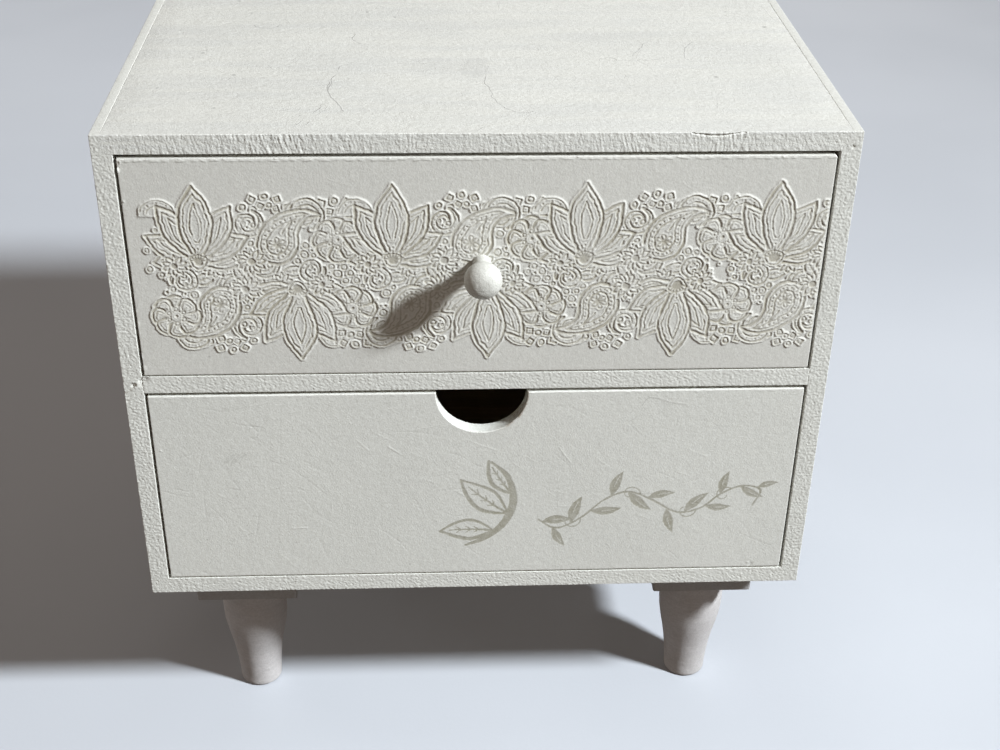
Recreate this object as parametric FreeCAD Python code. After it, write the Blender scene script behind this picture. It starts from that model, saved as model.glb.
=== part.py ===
import FreeCAD, Part
import math
import os

from FreeCAD import Vector as V

os.makedirs("parts", exist_ok=True)

# ---------------------------------------------------------------------------
# Mini chest with two drawers on four turned legs. Millimetres.
# +X to the right, +Y from the front to the back, +Z up.
# Origin: centre of the overall footprint (knob included), on the surface
# that the feet stand on. The front of the chest faces -Y.
# ---------------------------------------------------------------------------

# carcass
WIDTH = 220.0            # over the side boards
DEPTH = 160.0            # front edge of the boards to the back edge
HEIGHT = 165.0           # carcass only, without legs
BOARD = 6.0              # thickness of every carcass board
REBATE = 3.0             # depth of the corner and back rebates
BACK_T = 3.0             # back board

# legs
LEG_H = 50.5             # turned leg
PLATE_T = 16.5           # square block above each leg
PLATE_W = 35.0
LEG_X = 80.9             # leg axis from the centre line
LEG_INSET = 32.5         # leg axis behind the front edge

# knob on the upper drawer
KNOB_LEN = 16.3          # how far it stands out
KNOB_R = 5.6
KNOB_STEM_R = 2.6
KNOB_X = 0.5
KNOB_DZ = 2.2            # above the middle of the drawer front

# drawers
FRONT_T = 5.0
SIDE_T = 5.0
DBACK_T = 5.0
DBOT_T = 3.0
GAP_SIDE = 0.8
GAP_TOP = 1.2
GAP_BOTTOM = 0.3
GAP_REAR = 0.5
SIDE_DROP = 2.0          # sides and back are lower than the front
GROOVE_D = 2.5           # depth of the groove that holds the bottom
GROOVE_UP = 4.0          # groove above the lower edge
LAP = 2.5                # depth of the lap joint behind the drawer front

# finger notch in the lower drawer front
NOTCH_R = 14.45
NOTCH_X = 0.85
NOTCH_DROP = 0.5         # centre of the half round below the top edge

# fasteners
BRAD_R, BRAD_L = 0.6, 18.0
PIN_R, PIN_L = 0.5, 12.0
PIN_HEAD_R = 1.0
PIN_PROUD = 0.3          # domed pin heads stand out of the back board

# ---------------------------------------------------------------------------
# derived positions
Z0 = LEG_H + PLATE_T                     # underside of the carcass
Z1 = Z0 + HEIGHT                         # top surface
YF = (KNOB_LEN - DEPTH - PIN_PROUD) / 2.0  # front edge plane
YB = YF + DEPTH                          # back edge plane
XO = WIDTH / 2.0                         # outer face of a side board
XI = XO - BOARD                          # inner face of a side board
BAY = (HEIGHT - 3.0 * BOARD) / 2.0       # height of each drawer bay
ZL0 = Z0 + BOARD                         # lower bay
ZL1 = ZL0 + BAY
ZU0 = ZL1 + BOARD                        # upper bay
ZU1 = ZU0 + BAY


def box(x0, x1, y0, y1, z0, z1):
    return Part.makeBox(x1 - x0, y1 - y0, z1 - z0, V(x0, y0, z0))


def cyl(r, h, p, d):
    return Part.makeCylinder(r, h, V(*p), V(*d))


def lathe(points, p, axis):
    """Solid of revolution: points are (radius, distance along the axis), joined by a smooth
    curve where a list is nested, and by straight lines elsewhere. p is the start of the axis."""
    edges = []
    last = None
    for item in points:
        if isinstance(item, list):
            vs = [V(r, 0, h) for r, h in item]
            if last is not None and (last - vs[0]).Length > 1e-6:
                edges.append(Part.LineSegment(last, vs[0]).toShape())
            c = Part.BSplineCurve()
            c.interpolate(vs)
            edges.append(c.toShape())
            last = vs[-1]
        else:
            v = V(item[0], 0, item[1])
            if last is not None:
                edges.append(Part.LineSegment(last, v).toShape())
            last = v
    first = edges[0].Vertexes[0].Point
    if (last - first).Length > 1e-6:
        edges.append(Part.LineSegment(last, first).toShape())
    face = Part.Face(Part.Wire(edges))
    solid = face.revolve(V(0, 0, 0), V(0, 0, 1), 360)
    if solid.ShapeType != "Solid":
        solid = Part.makeSolid(solid)
    if solid.Volume < 0:
        solid.reverse()
    rot = FreeCAD.Rotation(V(0, 0, 1), V(*axis))
    solid.Placement = FreeCAD.Placement(V(*p), rot)
    return solid


def save(name, shape):
    solids = shape.Solids
    bad = [s for s in solids if not s.isValid() or not s.isClosed() or s.Volume <= 0]
    if bad or not solids:
        raise SystemExit(f"{name}: {len(bad)} bad of {len(solids)} solids")
    out = solids[0] if len(solids) == 1 else Part.makeCompound(solids)
    out.exportStep(os.path.join("parts", name + ".step"))
    print(f"{name}: {len(solids)} solid(s), {sum(s.Volume for s in solids):.1f} mm3")


# ---------------------------------------------------------------------------
# carcass boards. The side boards run the full height. Rebates in them take the
# ends of the top and bottom boards, and one along the back takes the back board.
def side_board(s):
    b = box(XI, XO, YF, YB, Z0, Z1)
    b = b.cut(box(XI - 1, XI + REBATE, YF - 1, YB + 1, Z1 - BOARD, Z1 + 1))
    b = b.cut(box(XI - 1, XI + REBATE, YF - 1, YB + 1, Z0 - 1, Z0 + BOARD))
    b = b.cut(box(XI - 1, XI + REBATE, YB - BACK_T, YB + 1, Z0 + REBATE, Z1 - REBATE))
    if s < 0:
        b = b.mirror(V(0, 0, 0), V(1, 0, 0))
    return b


XR = XI + REBATE                          # ends of the top and bottom boards
top = box(-XR, XR, YF, YB, Z1 - BOARD, Z1)
top = top.cut(box(-XR - 1, XR + 1, YB - BACK_T, YB + 1, Z1 - BOARD - 1, Z1 - REBATE))
bottom = box(-XR, XR, YF, YB, Z0, Z0 + BOARD)
bottom = bottom.cut(box(-XR - 1, XR + 1, YB - BACK_T, YB + 1, Z0 + REBATE, Z0 + BOARD + 1))
divider = box(-XI, XI, YF, YB - BACK_T, ZL1, ZU0)
back = box(-XR, XR, YB - BACK_T, YB, Z0 + REBATE, Z1 - REBATE)

# ---------------------------------------------------------------------------
# legs: a turned taper with a soft shoulder below the square block
leg_profile = [
    (0.0, LEG_H),
    (10.6, LEG_H),
    [(10.6, LEG_H), (11.1, 47.2), (11.45, 42.9), (11.65, 37.8), (11.55, 33.7), (11.25, 29.6),
     (10.6, 25.5), (9.7, 20.9), (8.9, 16.3), (8.3, 11.7), (7.9, 7.6), (7.65, 3.5), (7.55, 1.2)],
    [(7.55, 1.2), (7.25, 0.45), (6.5, 0.0)],
    (0.0, 0.0),
]
LEG_YF = YF + LEG_INSET
LEG_YB = YB - LEG_INSET
feet = {
    "front_left": (-LEG_X, LEG_YF),
    "front_right": (LEG_X, LEG_YF),
    "back_left": (-LEG_X, LEG_YB),
    "back_right": (LEG_X, LEG_YB),
}

# leg screws: countersunk in the bottom board, through the block, into the leg
SCREW_R, SCREW_HEAD_R, SCREW_L, SCREW_CLEAR = 1.75, 3.5, 40.0, 0.1
screws = []
for tag, (x, y) in feet.items():
    save("leg_" + tag, lathe(leg_profile, (x, y, 0), (0, 0, 1)))
    zt = Z0 + BOARD
    hole = cyl(SCREW_R + SCREW_CLEAR, BOARD + PLATE_T + 2, (x, y, LEG_H - 1), (0, 0, 1))
    sink = Part.makeCone(SCREW_R + SCREW_CLEAR, SCREW_HEAD_R + SCREW_CLEAR, 2.0,
                         V(x, y, zt - 2.0), V(0, 0, 1))
    bottom = bottom.cut(hole).cut(sink)
    plate = box(x - PLATE_W / 2, x + PLATE_W / 2, y - PLATE_W / 2, y + PLATE_W / 2, LEG_H, Z0)
    corners = [e for e in plate.Edges
               if abs(e.Vertexes[0].Z - e.Vertexes[1].Z) > 1.0]
    plate = plate.makeFillet(1.0, corners).cut(hole)
    save("leg_plate_" + tag, plate)
    s = lathe([(0.0, 0.0), (0.35, 0.0), (SCREW_R, 4.0), (SCREW_R, SCREW_L - 1.9),
               (SCREW_HEAD_R - 0.2, SCREW_L - 0.3), (SCREW_HEAD_R - 0.2, SCREW_L - 0.1),
               (0.0, SCREW_L - 0.1)],
              (x, y, zt - SCREW_L), (0, 0, 1))
    recess = box(-2.0, 2.0, -0.4, 0.4, 0, 2).fuse(box(-0.4, 0.4, -2.0, 2.0, 0, 2))
    recess.translate(V(x, y, zt - 1.1))
    screws.append(s.cut(recess))
save("leg_screws", Part.makeCompound(screws))

save("top_panel", top)
save("bottom_panel", bottom)
save("left_side_panel", side_board(-1))
save("right_side_panel", side_board(1))
save("divider_shelf", divider)
save("back_panel", back)

# brads through the side boards, set just below the painted surface
brads = []
for s in (-1, 1):
    for z in (Z1 - BOARD / 2, Z0 + BOARD / 2, (ZL1 + ZU0) / 2):
        for y in (YF + 14, YF + DEPTH / 2, YB - 14):
            x = XO - 0.6
            brads.append(cyl(BRAD_R, BRAD_L, (s * x, y, z), (-s, 0, 0)))
save("carcass_brads", Part.makeCompound(brads))


# domed panel pins through the back board into the board edges behind the rebate
def back_pin(x, z):
    h = PIN_PROUD
    return lathe([(0.0, 0.0), (0.15, 0.0), (PIN_R, 1.2), (PIN_R, PIN_L), (PIN_HEAD_R, PIN_L),
                  (PIN_HEAD_R, PIN_L + 0.1), (0.55, PIN_L + h), (0.0, PIN_L + h)],
                 (x, YB - PIN_L, z), (0, 1, 0))


# The pins stand in the part of each board that the back board laps over, 1.6 mm in from its edge.
pins = []
e = 1.6
for x in (-70.0, 0.0, 70.0):
    pins.append(back_pin(x, Z1 - REBATE - e))
    pins.append(back_pin(x, Z0 + REBATE + e))
for s in (-1, 1):
    for z in (Z0 + 45.0, Z1 - 45.0):
        pins.append(back_pin(s * (XR - e), z))
save("back_panel_pins", Part.makeCompound(pins))

# ---------------------------------------------------------------------------
# drawers: the front is lapped over the sides, the bottom slides into grooves
XD = XI - GAP_SIDE                        # outer face of a drawer side
XDI = XD - SIDE_T                         # inner face
YDB = YB - BACK_T - GAP_REAR              # rear end of a drawer
KNOB_Z = None


def drawer(prefix, z_bay, notch):
    z0 = z_bay + GAP_BOTTOM
    z1 = z_bay + BAY - GAP_TOP
    zs = z1 - SIDE_DROP
    zg = z0 + GROOVE_UP
    front = box(-XD, XD, YF, YF + FRONT_T, z0, z1)
    for s in (-1, 1):
        a, b = sorted((s * XDI, s * (XD + 1)))
        front = front.cut(box(a, b, YF + LAP, YF + FRONT_T + 1, z0 - 1, z1 + 1))
    front = front.cut(box(-XDI, XDI, YF + FRONT_T - GROOVE_D, YF + FRONT_T + 1, zg, zg + DBOT_T))
    if notch:
        front = front.cut(cyl(NOTCH_R, FRONT_T + 2, (NOTCH_X, YF - 1, z1 - NOTCH_DROP), (0, 1, 0)))
        front = front.cut(box(NOTCH_X - NOTCH_R, NOTCH_X + NOTCH_R, YF - 1, YF + FRONT_T + 1,
                              z1 - NOTCH_DROP, z1 + 1))
    sides = {}
    for s, tag in ((-1, "left"), (1, "right")):
        a, b = sorted((s * XDI, s * XD))
        side = box(a, b, YF + LAP, YDB, z0, zs)
        a, b = sorted((s * (XDI - 1), s * (XDI + GROOVE_D)))
        side = side.cut(box(a, b, YF + LAP - 1, YDB + 1, zg, zg + DBOT_T))
        sides[tag] = side
    rear = box(-XDI, XDI, YDB - DBACK_T, YDB, zg + DBOT_T, zs)
    base = box(-XDI - GROOVE_D, XDI + GROOVE_D, YF + FRONT_T - GROOVE_D, YDB, zg, zg + DBOT_T)
    p = []
    for s in (-1, 1):
        for z in (z0 + 14.0, z1 - 14.0):
            p.append(cyl(PIN_R, PIN_L, (s * (XD + 0.1), YF + LAP + 1.5, z), (-s, 0, 0)))
            p.append(cyl(PIN_R, PIN_L, (s * (XD + 0.1), YDB - DBACK_T / 2, z), (-s, 0, 0)))
    for x in (-60.0, 0.0, 60.0):
        p.append(cyl(PIN_R, PIN_L, (x, YDB - DBACK_T / 2, zg - 0.1), (0, 0, 1)))
    return z0, z1, front, sides, rear, base, p


# upper drawer, with the turned knob and its screw
z0, z1, front, sides, rear, base, p = drawer("upper", ZU0, False)
KNOB_Z = (z0 + z1) / 2.0 + KNOB_DZ
front = front.cut(cyl(1.6, FRONT_T + 2, (KNOB_X, YF - 1, KNOB_Z), (0, 1, 0)))
save("upper_drawer_front", front)
save("upper_drawer_left_side", sides["left"])
save("upper_drawer_right_side", sides["right"])
save("upper_drawer_back", rear)
save("upper_drawer_bottom", base)
save("upper_drawer_pins", Part.makeCompound(p))
r, s = KNOB_R, KNOB_STEM_R
knob = lathe([
    (0.0, 0.0),
    (s + 0.2, 0.0),
    [(s + 0.2, 0.0), (s, 1.5), (s - 0.05, 4.5), (s + 0.05, 5.9), (s + 0.55, 6.8), (r - 1.55, 7.8),
     (r - 0.62, 9.0), (r - 0.12, 10.4), (r, 11.5), (r - 0.15, 12.7), (r - 0.65, 13.95),
     (r - 1.6, 15.05), (r - 2.9, 15.85), (1.2, 16.22), (0.0, KNOB_LEN)],
], (KNOB_X, YF, KNOB_Z), (0, -1, 0))
save("upper_drawer_knob", knob)
KS_R, KS_HEAD_R, KS_HEAD_T, KS_REACH = 1.5, 3.0, 1.8, 8.0
screw = lathe([
    (0.0, 0.0),
    (KS_HEAD_R - 0.5, 0.0),
    (KS_HEAD_R, 0.6),
    (KS_HEAD_R, KS_HEAD_T),
    (KS_R, KS_HEAD_T),
    (KS_R, KS_HEAD_T + FRONT_T + KS_REACH - 2.0),
    (0.3, KS_HEAD_T + FRONT_T + KS_REACH),
    (0.0, KS_HEAD_T + FRONT_T + KS_REACH),
], (KNOB_X, YF + FRONT_T + KS_HEAD_T, KNOB_Z), (0, -1, 0))
recess = box(-1.7, 1.7, -0.35, 0.35, -1, 0.9).fuse(box(-0.35, 0.35, -1.7, 1.7, -1, 0.9))
recess.Placement = FreeCAD.Placement(V(KNOB_X, YF + FRONT_T + KS_HEAD_T, KNOB_Z),
                                     FreeCAD.Rotation(V(0, 0, 1), V(0, -1, 0)))
save("knob_screw", screw.cut(recess))

# lower drawer, with the finger notch
z0, z1, front, sides, rear, base, p = drawer("lower", ZL0, True)
save("lower_drawer_front", front)
save("lower_drawer_left_side", sides["left"])
save("lower_drawer_right_side", sides["right"])
save("lower_drawer_back", rear)
save("lower_drawer_bottom", base)
save("lower_drawer_pins", Part.makeCompound(p))

print(f"front plane y {YF}, back {YB}, top {Z1}, bays {ZL0}..{ZL1}, {ZU0}..{ZU1}")
print(f"drawer box x {-XDI}..{XDI}, rear y {YDB}, knob z {KNOB_Z}")
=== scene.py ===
"""Looks of a mini chest of drawers: painted boards, an embossed band on the upper drawer front, a stencilled spray on the lower one, turned knob and legs."""
import math

import bpy
import numpy as np
from mathutils import Matrix


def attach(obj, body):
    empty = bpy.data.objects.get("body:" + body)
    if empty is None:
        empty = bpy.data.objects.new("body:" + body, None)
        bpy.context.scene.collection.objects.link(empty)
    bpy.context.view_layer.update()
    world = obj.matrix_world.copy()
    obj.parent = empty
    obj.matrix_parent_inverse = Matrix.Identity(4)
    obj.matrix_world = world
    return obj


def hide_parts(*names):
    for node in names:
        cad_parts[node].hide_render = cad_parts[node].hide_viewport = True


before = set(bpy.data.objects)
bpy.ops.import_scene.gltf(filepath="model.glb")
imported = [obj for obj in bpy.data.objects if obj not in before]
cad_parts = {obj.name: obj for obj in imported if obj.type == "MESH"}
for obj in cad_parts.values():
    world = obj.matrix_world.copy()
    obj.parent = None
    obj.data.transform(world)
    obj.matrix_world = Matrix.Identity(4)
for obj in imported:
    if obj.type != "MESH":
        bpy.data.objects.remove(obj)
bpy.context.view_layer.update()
scene = bpy.context.scene
MM = 0.001

# ------------------------------------------------------------------ main sizes, mm
# Heights in this script count from RAISE above the floor: add_mesh lifts every piece by it, and the materials take it off again.
RAISE = 14.0
YF, YB = -72.0, 88.0          # front plane and back plane of the carcass
HW = 110.0                    # half width of the carcass
ZB, ZT = 53.0, 218.0          # underside and top of the carcass
T = 6.0                       # board
KNOB = (0.5, 177.0)           # knob axis, x and z
NOTCH = (0.85, 130.8, 14.45)    # finger notch: x, z, radius
LEG_X, LEG_Y, LEG_TOP = 80.9, (-39.5, 55.5), 50.5 - RAISE


# ------------------------------------------------------------------ numbers: noise, steps, curves
def hashed(ix, iy, seed):
    h = (ix.astype(np.int64) * 374761393 + iy.astype(np.int64) * 668265263 + seed * 1442695041) & 0xFFFFFFFF
    h = ((h ^ (h >> 13)) * 1274126177) & 0xFFFFFFFF
    return (h ^ (h >> 16)) & 0xFFFFFFFF


def noise2(x, y, seed=0):
    """Gradient noise, about -1 to 1."""
    x, y = np.asarray(x, np.float64), np.asarray(y, np.float64)
    x, y = np.broadcast_arrays(x, y)
    x0, y0 = np.floor(x), np.floor(y)
    fx, fy = x - x0, y - y0
    ux = fx * fx * fx * (fx * (fx * 6 - 15) + 10)
    uy = fy * fy * fy * (fy * (fy * 6 - 15) + 10)
    out = []
    for dx in (0, 1):
        for dy in (0, 1):
            a = hashed(x0 + dx, y0 + dy, seed) * (2 * np.pi / 4294967296.0)
            out.append(np.cos(a) * (fx - dx) + np.sin(a) * (fy - dy))
    a, b, c, d = out
    lo = a + (c - a) * ux
    hi = b + (d - b) * ux
    return (lo + (hi - lo) * uy) * 1.5


def fbm2(x, y, seed=0, octaves=4, gain=0.5):
    s, amp, tot = 0.0, 1.0, 0.0
    for o in range(octaves):
        s = s + amp * noise2(np.asarray(x) * 2.0 ** o, np.asarray(y) * 2.0 ** o, seed + 17 * o)
        tot += amp
        amp *= gain
    return s / tot


def smooth(a, b, x):
    t = np.clip((np.asarray(x) - a) / (b - a), 0.0, 1.0)
    return t * t * (3 - 2 * t)


def spline(points, n=12, closed=False):
    """Catmull-Rom curve through points."""
    p = np.asarray(points, float)
    if closed:
        q = np.vstack([p[-1], p, p[0], p[1]])
    else:
        q = np.vstack([2 * p[0] - p[1], p, 2 * p[-1] - p[-2]])
    out = []
    t = np.linspace(0, 1, n, endpoint=False)[:, None]
    for i in range(1, len(q) - 2):
        a, b, c, d = q[i - 1], q[i], q[i + 1], q[i + 2]
        out.append(0.5 * (2 * b + (c - a) * t + (2 * a - 5 * b + 4 * c - d) * t * t + (3 * b - a - 3 * c + d) * t ** 3))
    if not closed:
        out.append(p[-1:])
    return np.vstack(out)


def turn(p, deg, about=(0.0, 0.0)):
    a = np.radians(deg)
    c, s = np.cos(a), np.sin(a)
    q = np.asarray(p, float) - about
    return np.stack([q[:, 0] * c - q[:, 1] * s, q[:, 0] * s + q[:, 1] * c], 1) + about


# ------------------------------------------------------------------ ornament: motifs drawn as distance fields
RES = 0.125   # mm per cell of the design raster

LOTUS = [(0, .10), (.14, .42), (.34, .80), (.54, 1.0), (.74, .80), (.87, .42), (.95, .15), (1, .0)]
ROUND = [(0, .06), (.10, .30), (.30, .66), (.55, .95), (.75, 1.0), (.9, .72), (.97, .40), (1, .05)]
BOTEH = [(0, .0), (.02, .34), (.06, .60), (.14, .86), (.26, 1.0), (.40, .92), (.56, .66), (.72, .38), (.88, .17), (1, .02)]
LEAF = [(0, .03), (.12, .42), (.3, .86), (.46, 1.0), (.66, .78), (.84, .40), (.95, .12), (1, .0)]
SPIKE = [(0, .25), (.2, .7), (.45, 1.0), (.7, .7), (.9, .25), (1, .0)]


def petal(length, width, prof, bend=0.0, n=26):
    """Closed outline of a petal from its base at the origin upwards, and its midline."""
    pr = spline(prof, 8)
    s = np.linspace(0, 1, n)
    w = np.clip(np.interp(s, pr[:, 0], pr[:, 1]), 0, 2) * width / 2
    ang = np.radians(bend) * s ** 1.4
    ds = length / (n - 1)
    cx = np.concatenate([[0], np.cumsum(np.sin((ang[1:] + ang[:-1]) / 2) * ds)])
    cz = np.concatenate([[0], np.cumsum(np.cos((ang[1:] + ang[:-1]) / 2) * ds)])
    nx, nz = np.cos(ang), -np.sin(ang)
    left = np.stack([cx - nx * w, cz - nz * w], 1)
    right = np.stack([cx + nx * w, cz + nz * w], 1)
    return np.vstack([left, right[::-1]]), np.stack([cx, cz], 1)


def seg_dist(X, Z, pts, wid=None):
    """Least distance to a polyline, less its half width there."""
    best = np.full(X.shape, 1e3, np.float32)
    pts = np.asarray(pts, np.float32)
    for i in range(len(pts) - 1):
        ax, az = pts[i]
        dx, dz = pts[i + 1] - pts[i]
        L2 = dx * dx + dz * dz
        if L2 < 1e-10:
            continue
        t = np.clip(((X - ax) * dx + (Z - az) * dz) / L2, 0, 1)
        d = np.sqrt((X - ax - t * dx) ** 2 + (Z - az - t * dz) ** 2)
        if wid is not None:
            d = d - (wid[i] + (wid[i + 1] - wid[i]) * t)
        best = np.minimum(best, d)
    return best


def poly_sd(X, Z, pts):
    """Signed distance to a closed outline, negative inside."""
    pts = np.asarray(pts, np.float32)
    loop = np.vstack([pts, pts[:1]])
    d = seg_dist(X, Z, loop)
    inside = np.zeros(X.shape, bool)
    for i in range(len(pts)):
        ax, az = loop[i]
        bx, bz = loop[i + 1]
        if az == bz:
            continue
        inside ^= ((az > Z) != (bz > Z)) & (X < (bx - ax) * (Z - az) / (bz - az) + ax)
    return np.where(inside, -d, d)


class Patch:
    """A motif on a raster: distance to its silhouette, distance to its cut lines, and a dome height."""

    def __init__(self, x0, x1, z0, z1):
        self.i0, self.i1 = int(np.floor(x0 / RES)), int(np.ceil(x1 / RES))
        self.k0, self.k1 = int(np.floor(z0 / RES)), int(np.ceil(z1 / RES))
        xs = np.arange(self.i0, self.i1 + 1, dtype=np.float32) * RES
        zs = np.arange(self.k0, self.k1 + 1, dtype=np.float32) * RES
        self.X, self.Z = np.meshgrid(xs, zs)
        self.sil = np.full(self.X.shape, 50.0, np.float32)
        self.ink = np.full(self.X.shape, 50.0, np.float32)
        self.dome = np.zeros(self.X.shape, np.float32)

    def cover(self, sd, gap=0.3):
        """A shape lies over what is there: cut lines below it end at its edge."""
        self.ink = np.maximum(self.ink, -(sd - gap))
        self.sil = np.minimum(self.sil, sd)
        self.dome = np.where(sd < 0, 0, self.dome)

    def line(self, d, w):
        self.ink = np.minimum(self.ink, d - w / 2)

    def window(self, lo, hi):
        a = int(np.clip(int(lo[0] / RES) - self.i0, 0, self.X.shape[1] - 1))
        b = int(np.clip(int(hi[0] / RES) - self.i0 + 1, 1, self.X.shape[1]))
        c = int(np.clip(int(lo[1] / RES) - self.k0, 0, self.X.shape[0] - 1))
        d = int(np.clip(int(hi[1] / RES) - self.k0 + 1, 1, self.X.shape[0]))
        return (slice(c, d), slice(a, b)) if b > a and d > c else None

    def stroke(self, pts, w0, w1=None):
        pts = np.asarray(pts, float)
        win = self.window(pts.min(0) - 2.5, pts.max(0) + 2.5)
        if win is None:
            return
        wid = (np.linspace(w0, w0 if w1 is None else w1, len(pts)) if np.isscalar(w0) else np.asarray(w0)) / 2
        self.ink[win] = np.minimum(self.ink[win], seg_dist(self.X[win], self.Z[win], pts, wid))

    def ring(self, x, z, r, w=0.55, cover=True, fill=False):
        d = np.sqrt((self.X - x) ** 2 + (self.Z - z) ** 2) - r
        if cover:
            self.cover(d - w / 2, 0.25)
        self.ink = np.minimum(self.ink, d if fill else np.abs(d) - w / 2)

    def shape(self, pts, contours, dome=0.0, gap=0.3, wob=0.3, seed=1):
        sd = poly_sd(self.X, self.Z, pts)
        self.cover(sd - 0.35, gap)
        ripple = wob * noise2(self.X / 1.5 + seed * 7.3, self.Z / 1.5, seed)
        for off, w in contours:
            self.line(np.abs(sd + off + (ripple if off > 0.6 else 0.25 * ripple)), w)
        if dome:
            self.dome = np.where(sd < 0, dome * (1 - np.exp(np.minimum(sd, 0) / 1.2)), self.dome)
        return sd


def palmette(tall=25.0):
    """Fan of pointed petals on a small cup."""
    P = Patch(-18, 18, -5, tall + 4)
    spec = [(78, 13.5, 5.6, 26), (-78, 13.5, 5.6, -26), (52, 17.5, 7.2, 16), (-52, 17.5, 7.2, -16),
            (26, 21.5, 8.4, 9), (-26, 21.5, 8.4, -9), (0, tall, 10.0, 0)]
    for m, (a, L, W, bend) in enumerate(spec):
        out, mid = petal(L, W, LOTUS, bend)
        out, mid = turn(out, -a), turn(mid, -a)
        P.shape(out, [(0.0, 0.85), (1.35, 0.42)], dome=0.05, seed=m + 1)
        k = len(mid)
        inner, _ = petal(L * 0.50, W * 0.34, SPIKE, bend * 0.5, 14)
        inner = turn(inner, -a) + mid[int(k * 0.30)]
        P.stroke(np.vstack([inner, inner[:1]]), 0.42)
        for f in (0.12, 0.2):
            P.ring(*mid[int(k * f)], 0.32, 0.3, cover=False, fill=True)
    P.shape(spline([(-2.6, 1.6), (-1.6, -1.0), (0, -2.0), (1.6, -1.0), (2.6, 1.6), (0, 2.9)], 6, True), [(0, 0.5)])
    P.ring(0, 0.5, 1.45, 0.5, cover=False, fill=True)
    for a in range(-75, 76, 25):
        P.stroke(turn(np.array([[0, 1.9], [0, 3.9]]), -a, (0, 0.5)), 0.62, 0.3)
    return P


def boteh(flip=1, size=1.0):
    """Curled drop with nested lines and a row of beads."""
    P = Patch(-15 * size, 15 * size, -4, 24 * size)
    out, mid = petal(25.0 * size, 12.0 * size, BOTEH, 118 * flip, 44)
    sd = P.shape(out, [(0.0, 0.95), (1.25, 0.38), (3.0, 0.5)], dome=0.05)
    q = np.vstack([out, out[:1]])
    s = np.concatenate([[0], np.cumsum(np.sqrt((np.diff(q, axis=0) ** 2).sum(1)))])
    for t in np.linspace(0, s[-1], int(s[-1] / 1.9), endpoint=False):
        x, z = np.interp(t, s, q[:, 0]), np.interp(t, s, q[:, 1])
        ix, iz = int(round(x / RES)) - P.i0, int(round(z / RES)) - P.k0
        if not (2 < ix < P.X.shape[1] - 3 and 2 < iz < P.X.shape[0] - 3):
            continue
        gx = sd[iz, ix + 2] - sd[iz, ix - 2]
        gz = sd[iz + 2, ix] - sd[iz - 2, ix]
        g = np.hypot(gx, gz) + 1e-6
        bx, bz = x - gx / g * 2.12, z - gz / g * 2.12
        jx, jz = int(round(bx / RES)) - P.i0, int(round(bz / RES)) - P.k0
        if 0 < jx < P.X.shape[1] and 0 < jz < P.X.shape[0] and sd[jz, jx] < -1.9:
            P.ring(bx, bz, 0.30, 0.3, cover=False, fill=True)
    k = len(mid)
    c = mid[int(k * 0.26)]
    for a in range(0, 360, 60):
        e, _ = petal(2.0 * size, 1.15 * size, ROUND, 0, 10)
        e = turn(e + (0, 0.45), a) + c
        P.stroke(np.vstack([e, e[:1]]), 0.34)
    P.ring(c[0], c[1], 0.42, 0.3, cover=False, fill=True)
    P.stroke(mid[int(k * 0.42):int(k * 0.86)], 0.5, 0.25)
    return P


def rosette(R=8.0, n=8):
    P = Patch(-R - 2, R + 2, -R - 2, R + 2)
    for i in range(n):
        out, mid = petal(R * 0.86, R * 0.74, ROUND, 0, 20)
        out = turn(out + (0, R * 0.12), i * 360.0 / n)
        P.shape(out, [(0.0, 0.85), (1.05, 0.34)], dome=0.07, seed=i + 3)
        P.stroke(turn(np.array([[0, R * 0.34], [0, R * 0.58]]), i * 360.0 / n), 0.4, 0.22)
    P.ring(0, 0, R * 0.25, 0.5)
    for i in range(6):
        a = np.radians(i * 60 + 30)
        P.ring(R * 0.33 * np.cos(a), R * 0.33 * np.sin(a), R * 0.075, 0.4)
    P.ring(0, 0, R * 0.07, 0.3, cover=False, fill=True)
    return P


def daisy(R=4.4, n=12):
    P = Patch(-R - 2, R + 2, -R - 2, R + 2)
    for i in range(n):
        out, mid = petal(R * 0.80, R * 0.40, SPIKE, 0, 12)
        out = turn(out + (0, R * 0.2), i * 360.0 / n)
        P.shape(out, [(0.0, 0.5)], dome=0.05, gap=0.15)
    P.ring(0, 0, R * 0.27, 0.4, fill=True)
    return P


def scroll(flip=1, R=5.2):
    """Crescent that curls into a bead, with beads in its band."""
    P = Patch(-R - 3, R + 3, -R - 3, R + 3)
    t = np.linspace(0, 1, 46)
    ang = np.radians(-70 + 455 * t) * flip
    rad = R * (1 - 0.60 * t ** 1.15)
    c = np.stack([rad * np.cos(ang), rad * np.sin(ang)], 1)
    w = R * 0.16 * np.sin(np.pi * np.clip(t * 1.15, 0, 1)) ** 0.7 + 0.18
    d = seg_dist(P.X, P.Z, c, w)
    P.cover(d - 0.4, 0.25)
    P.line(np.abs(d), 0.58)
    for f in np.linspace(0.10, 0.66, 9):
        P.ring(*c[int(f * 45)], 0.22, 0.3, cover=False, fill=True)
    P.ring(*c[-1], R * 0.17, 0.5)
    a = np.radians(200 * flip)
    P.ring(R * 0.30 * np.cos(a), R * 0.30 * np.sin(a) - 0.2, R * 0.10, 0.4)
    return P


def leaf(L=9.0, W=3.8, bend=20, veins=4):
    P = Patch(-L, L, -L, L)
    out, mid = petal(L, W, LEAF, bend, 22)
    P.shape(out, [(0.0, 0.7)], dome=0.04)
    k = len(mid)
    P.stroke(mid[1:int(k * 0.86)], 0.5, 0.25)
    for f in np.linspace(0.25, 0.7, veins):
        m = mid[int(k * f)]
        d = mid[int(k * f) + 1] - m
        d = d / np.hypot(*d)
        for sgn in (1, -1):
            e = np.array([d[0] * .75 + sgn * d[1] * .65, d[1] * .75 - sgn * d[0] * .65])
            P.stroke(np.stack([m, m + e * W * 0.27]), 0.34, 0.2)
    return P


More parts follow.
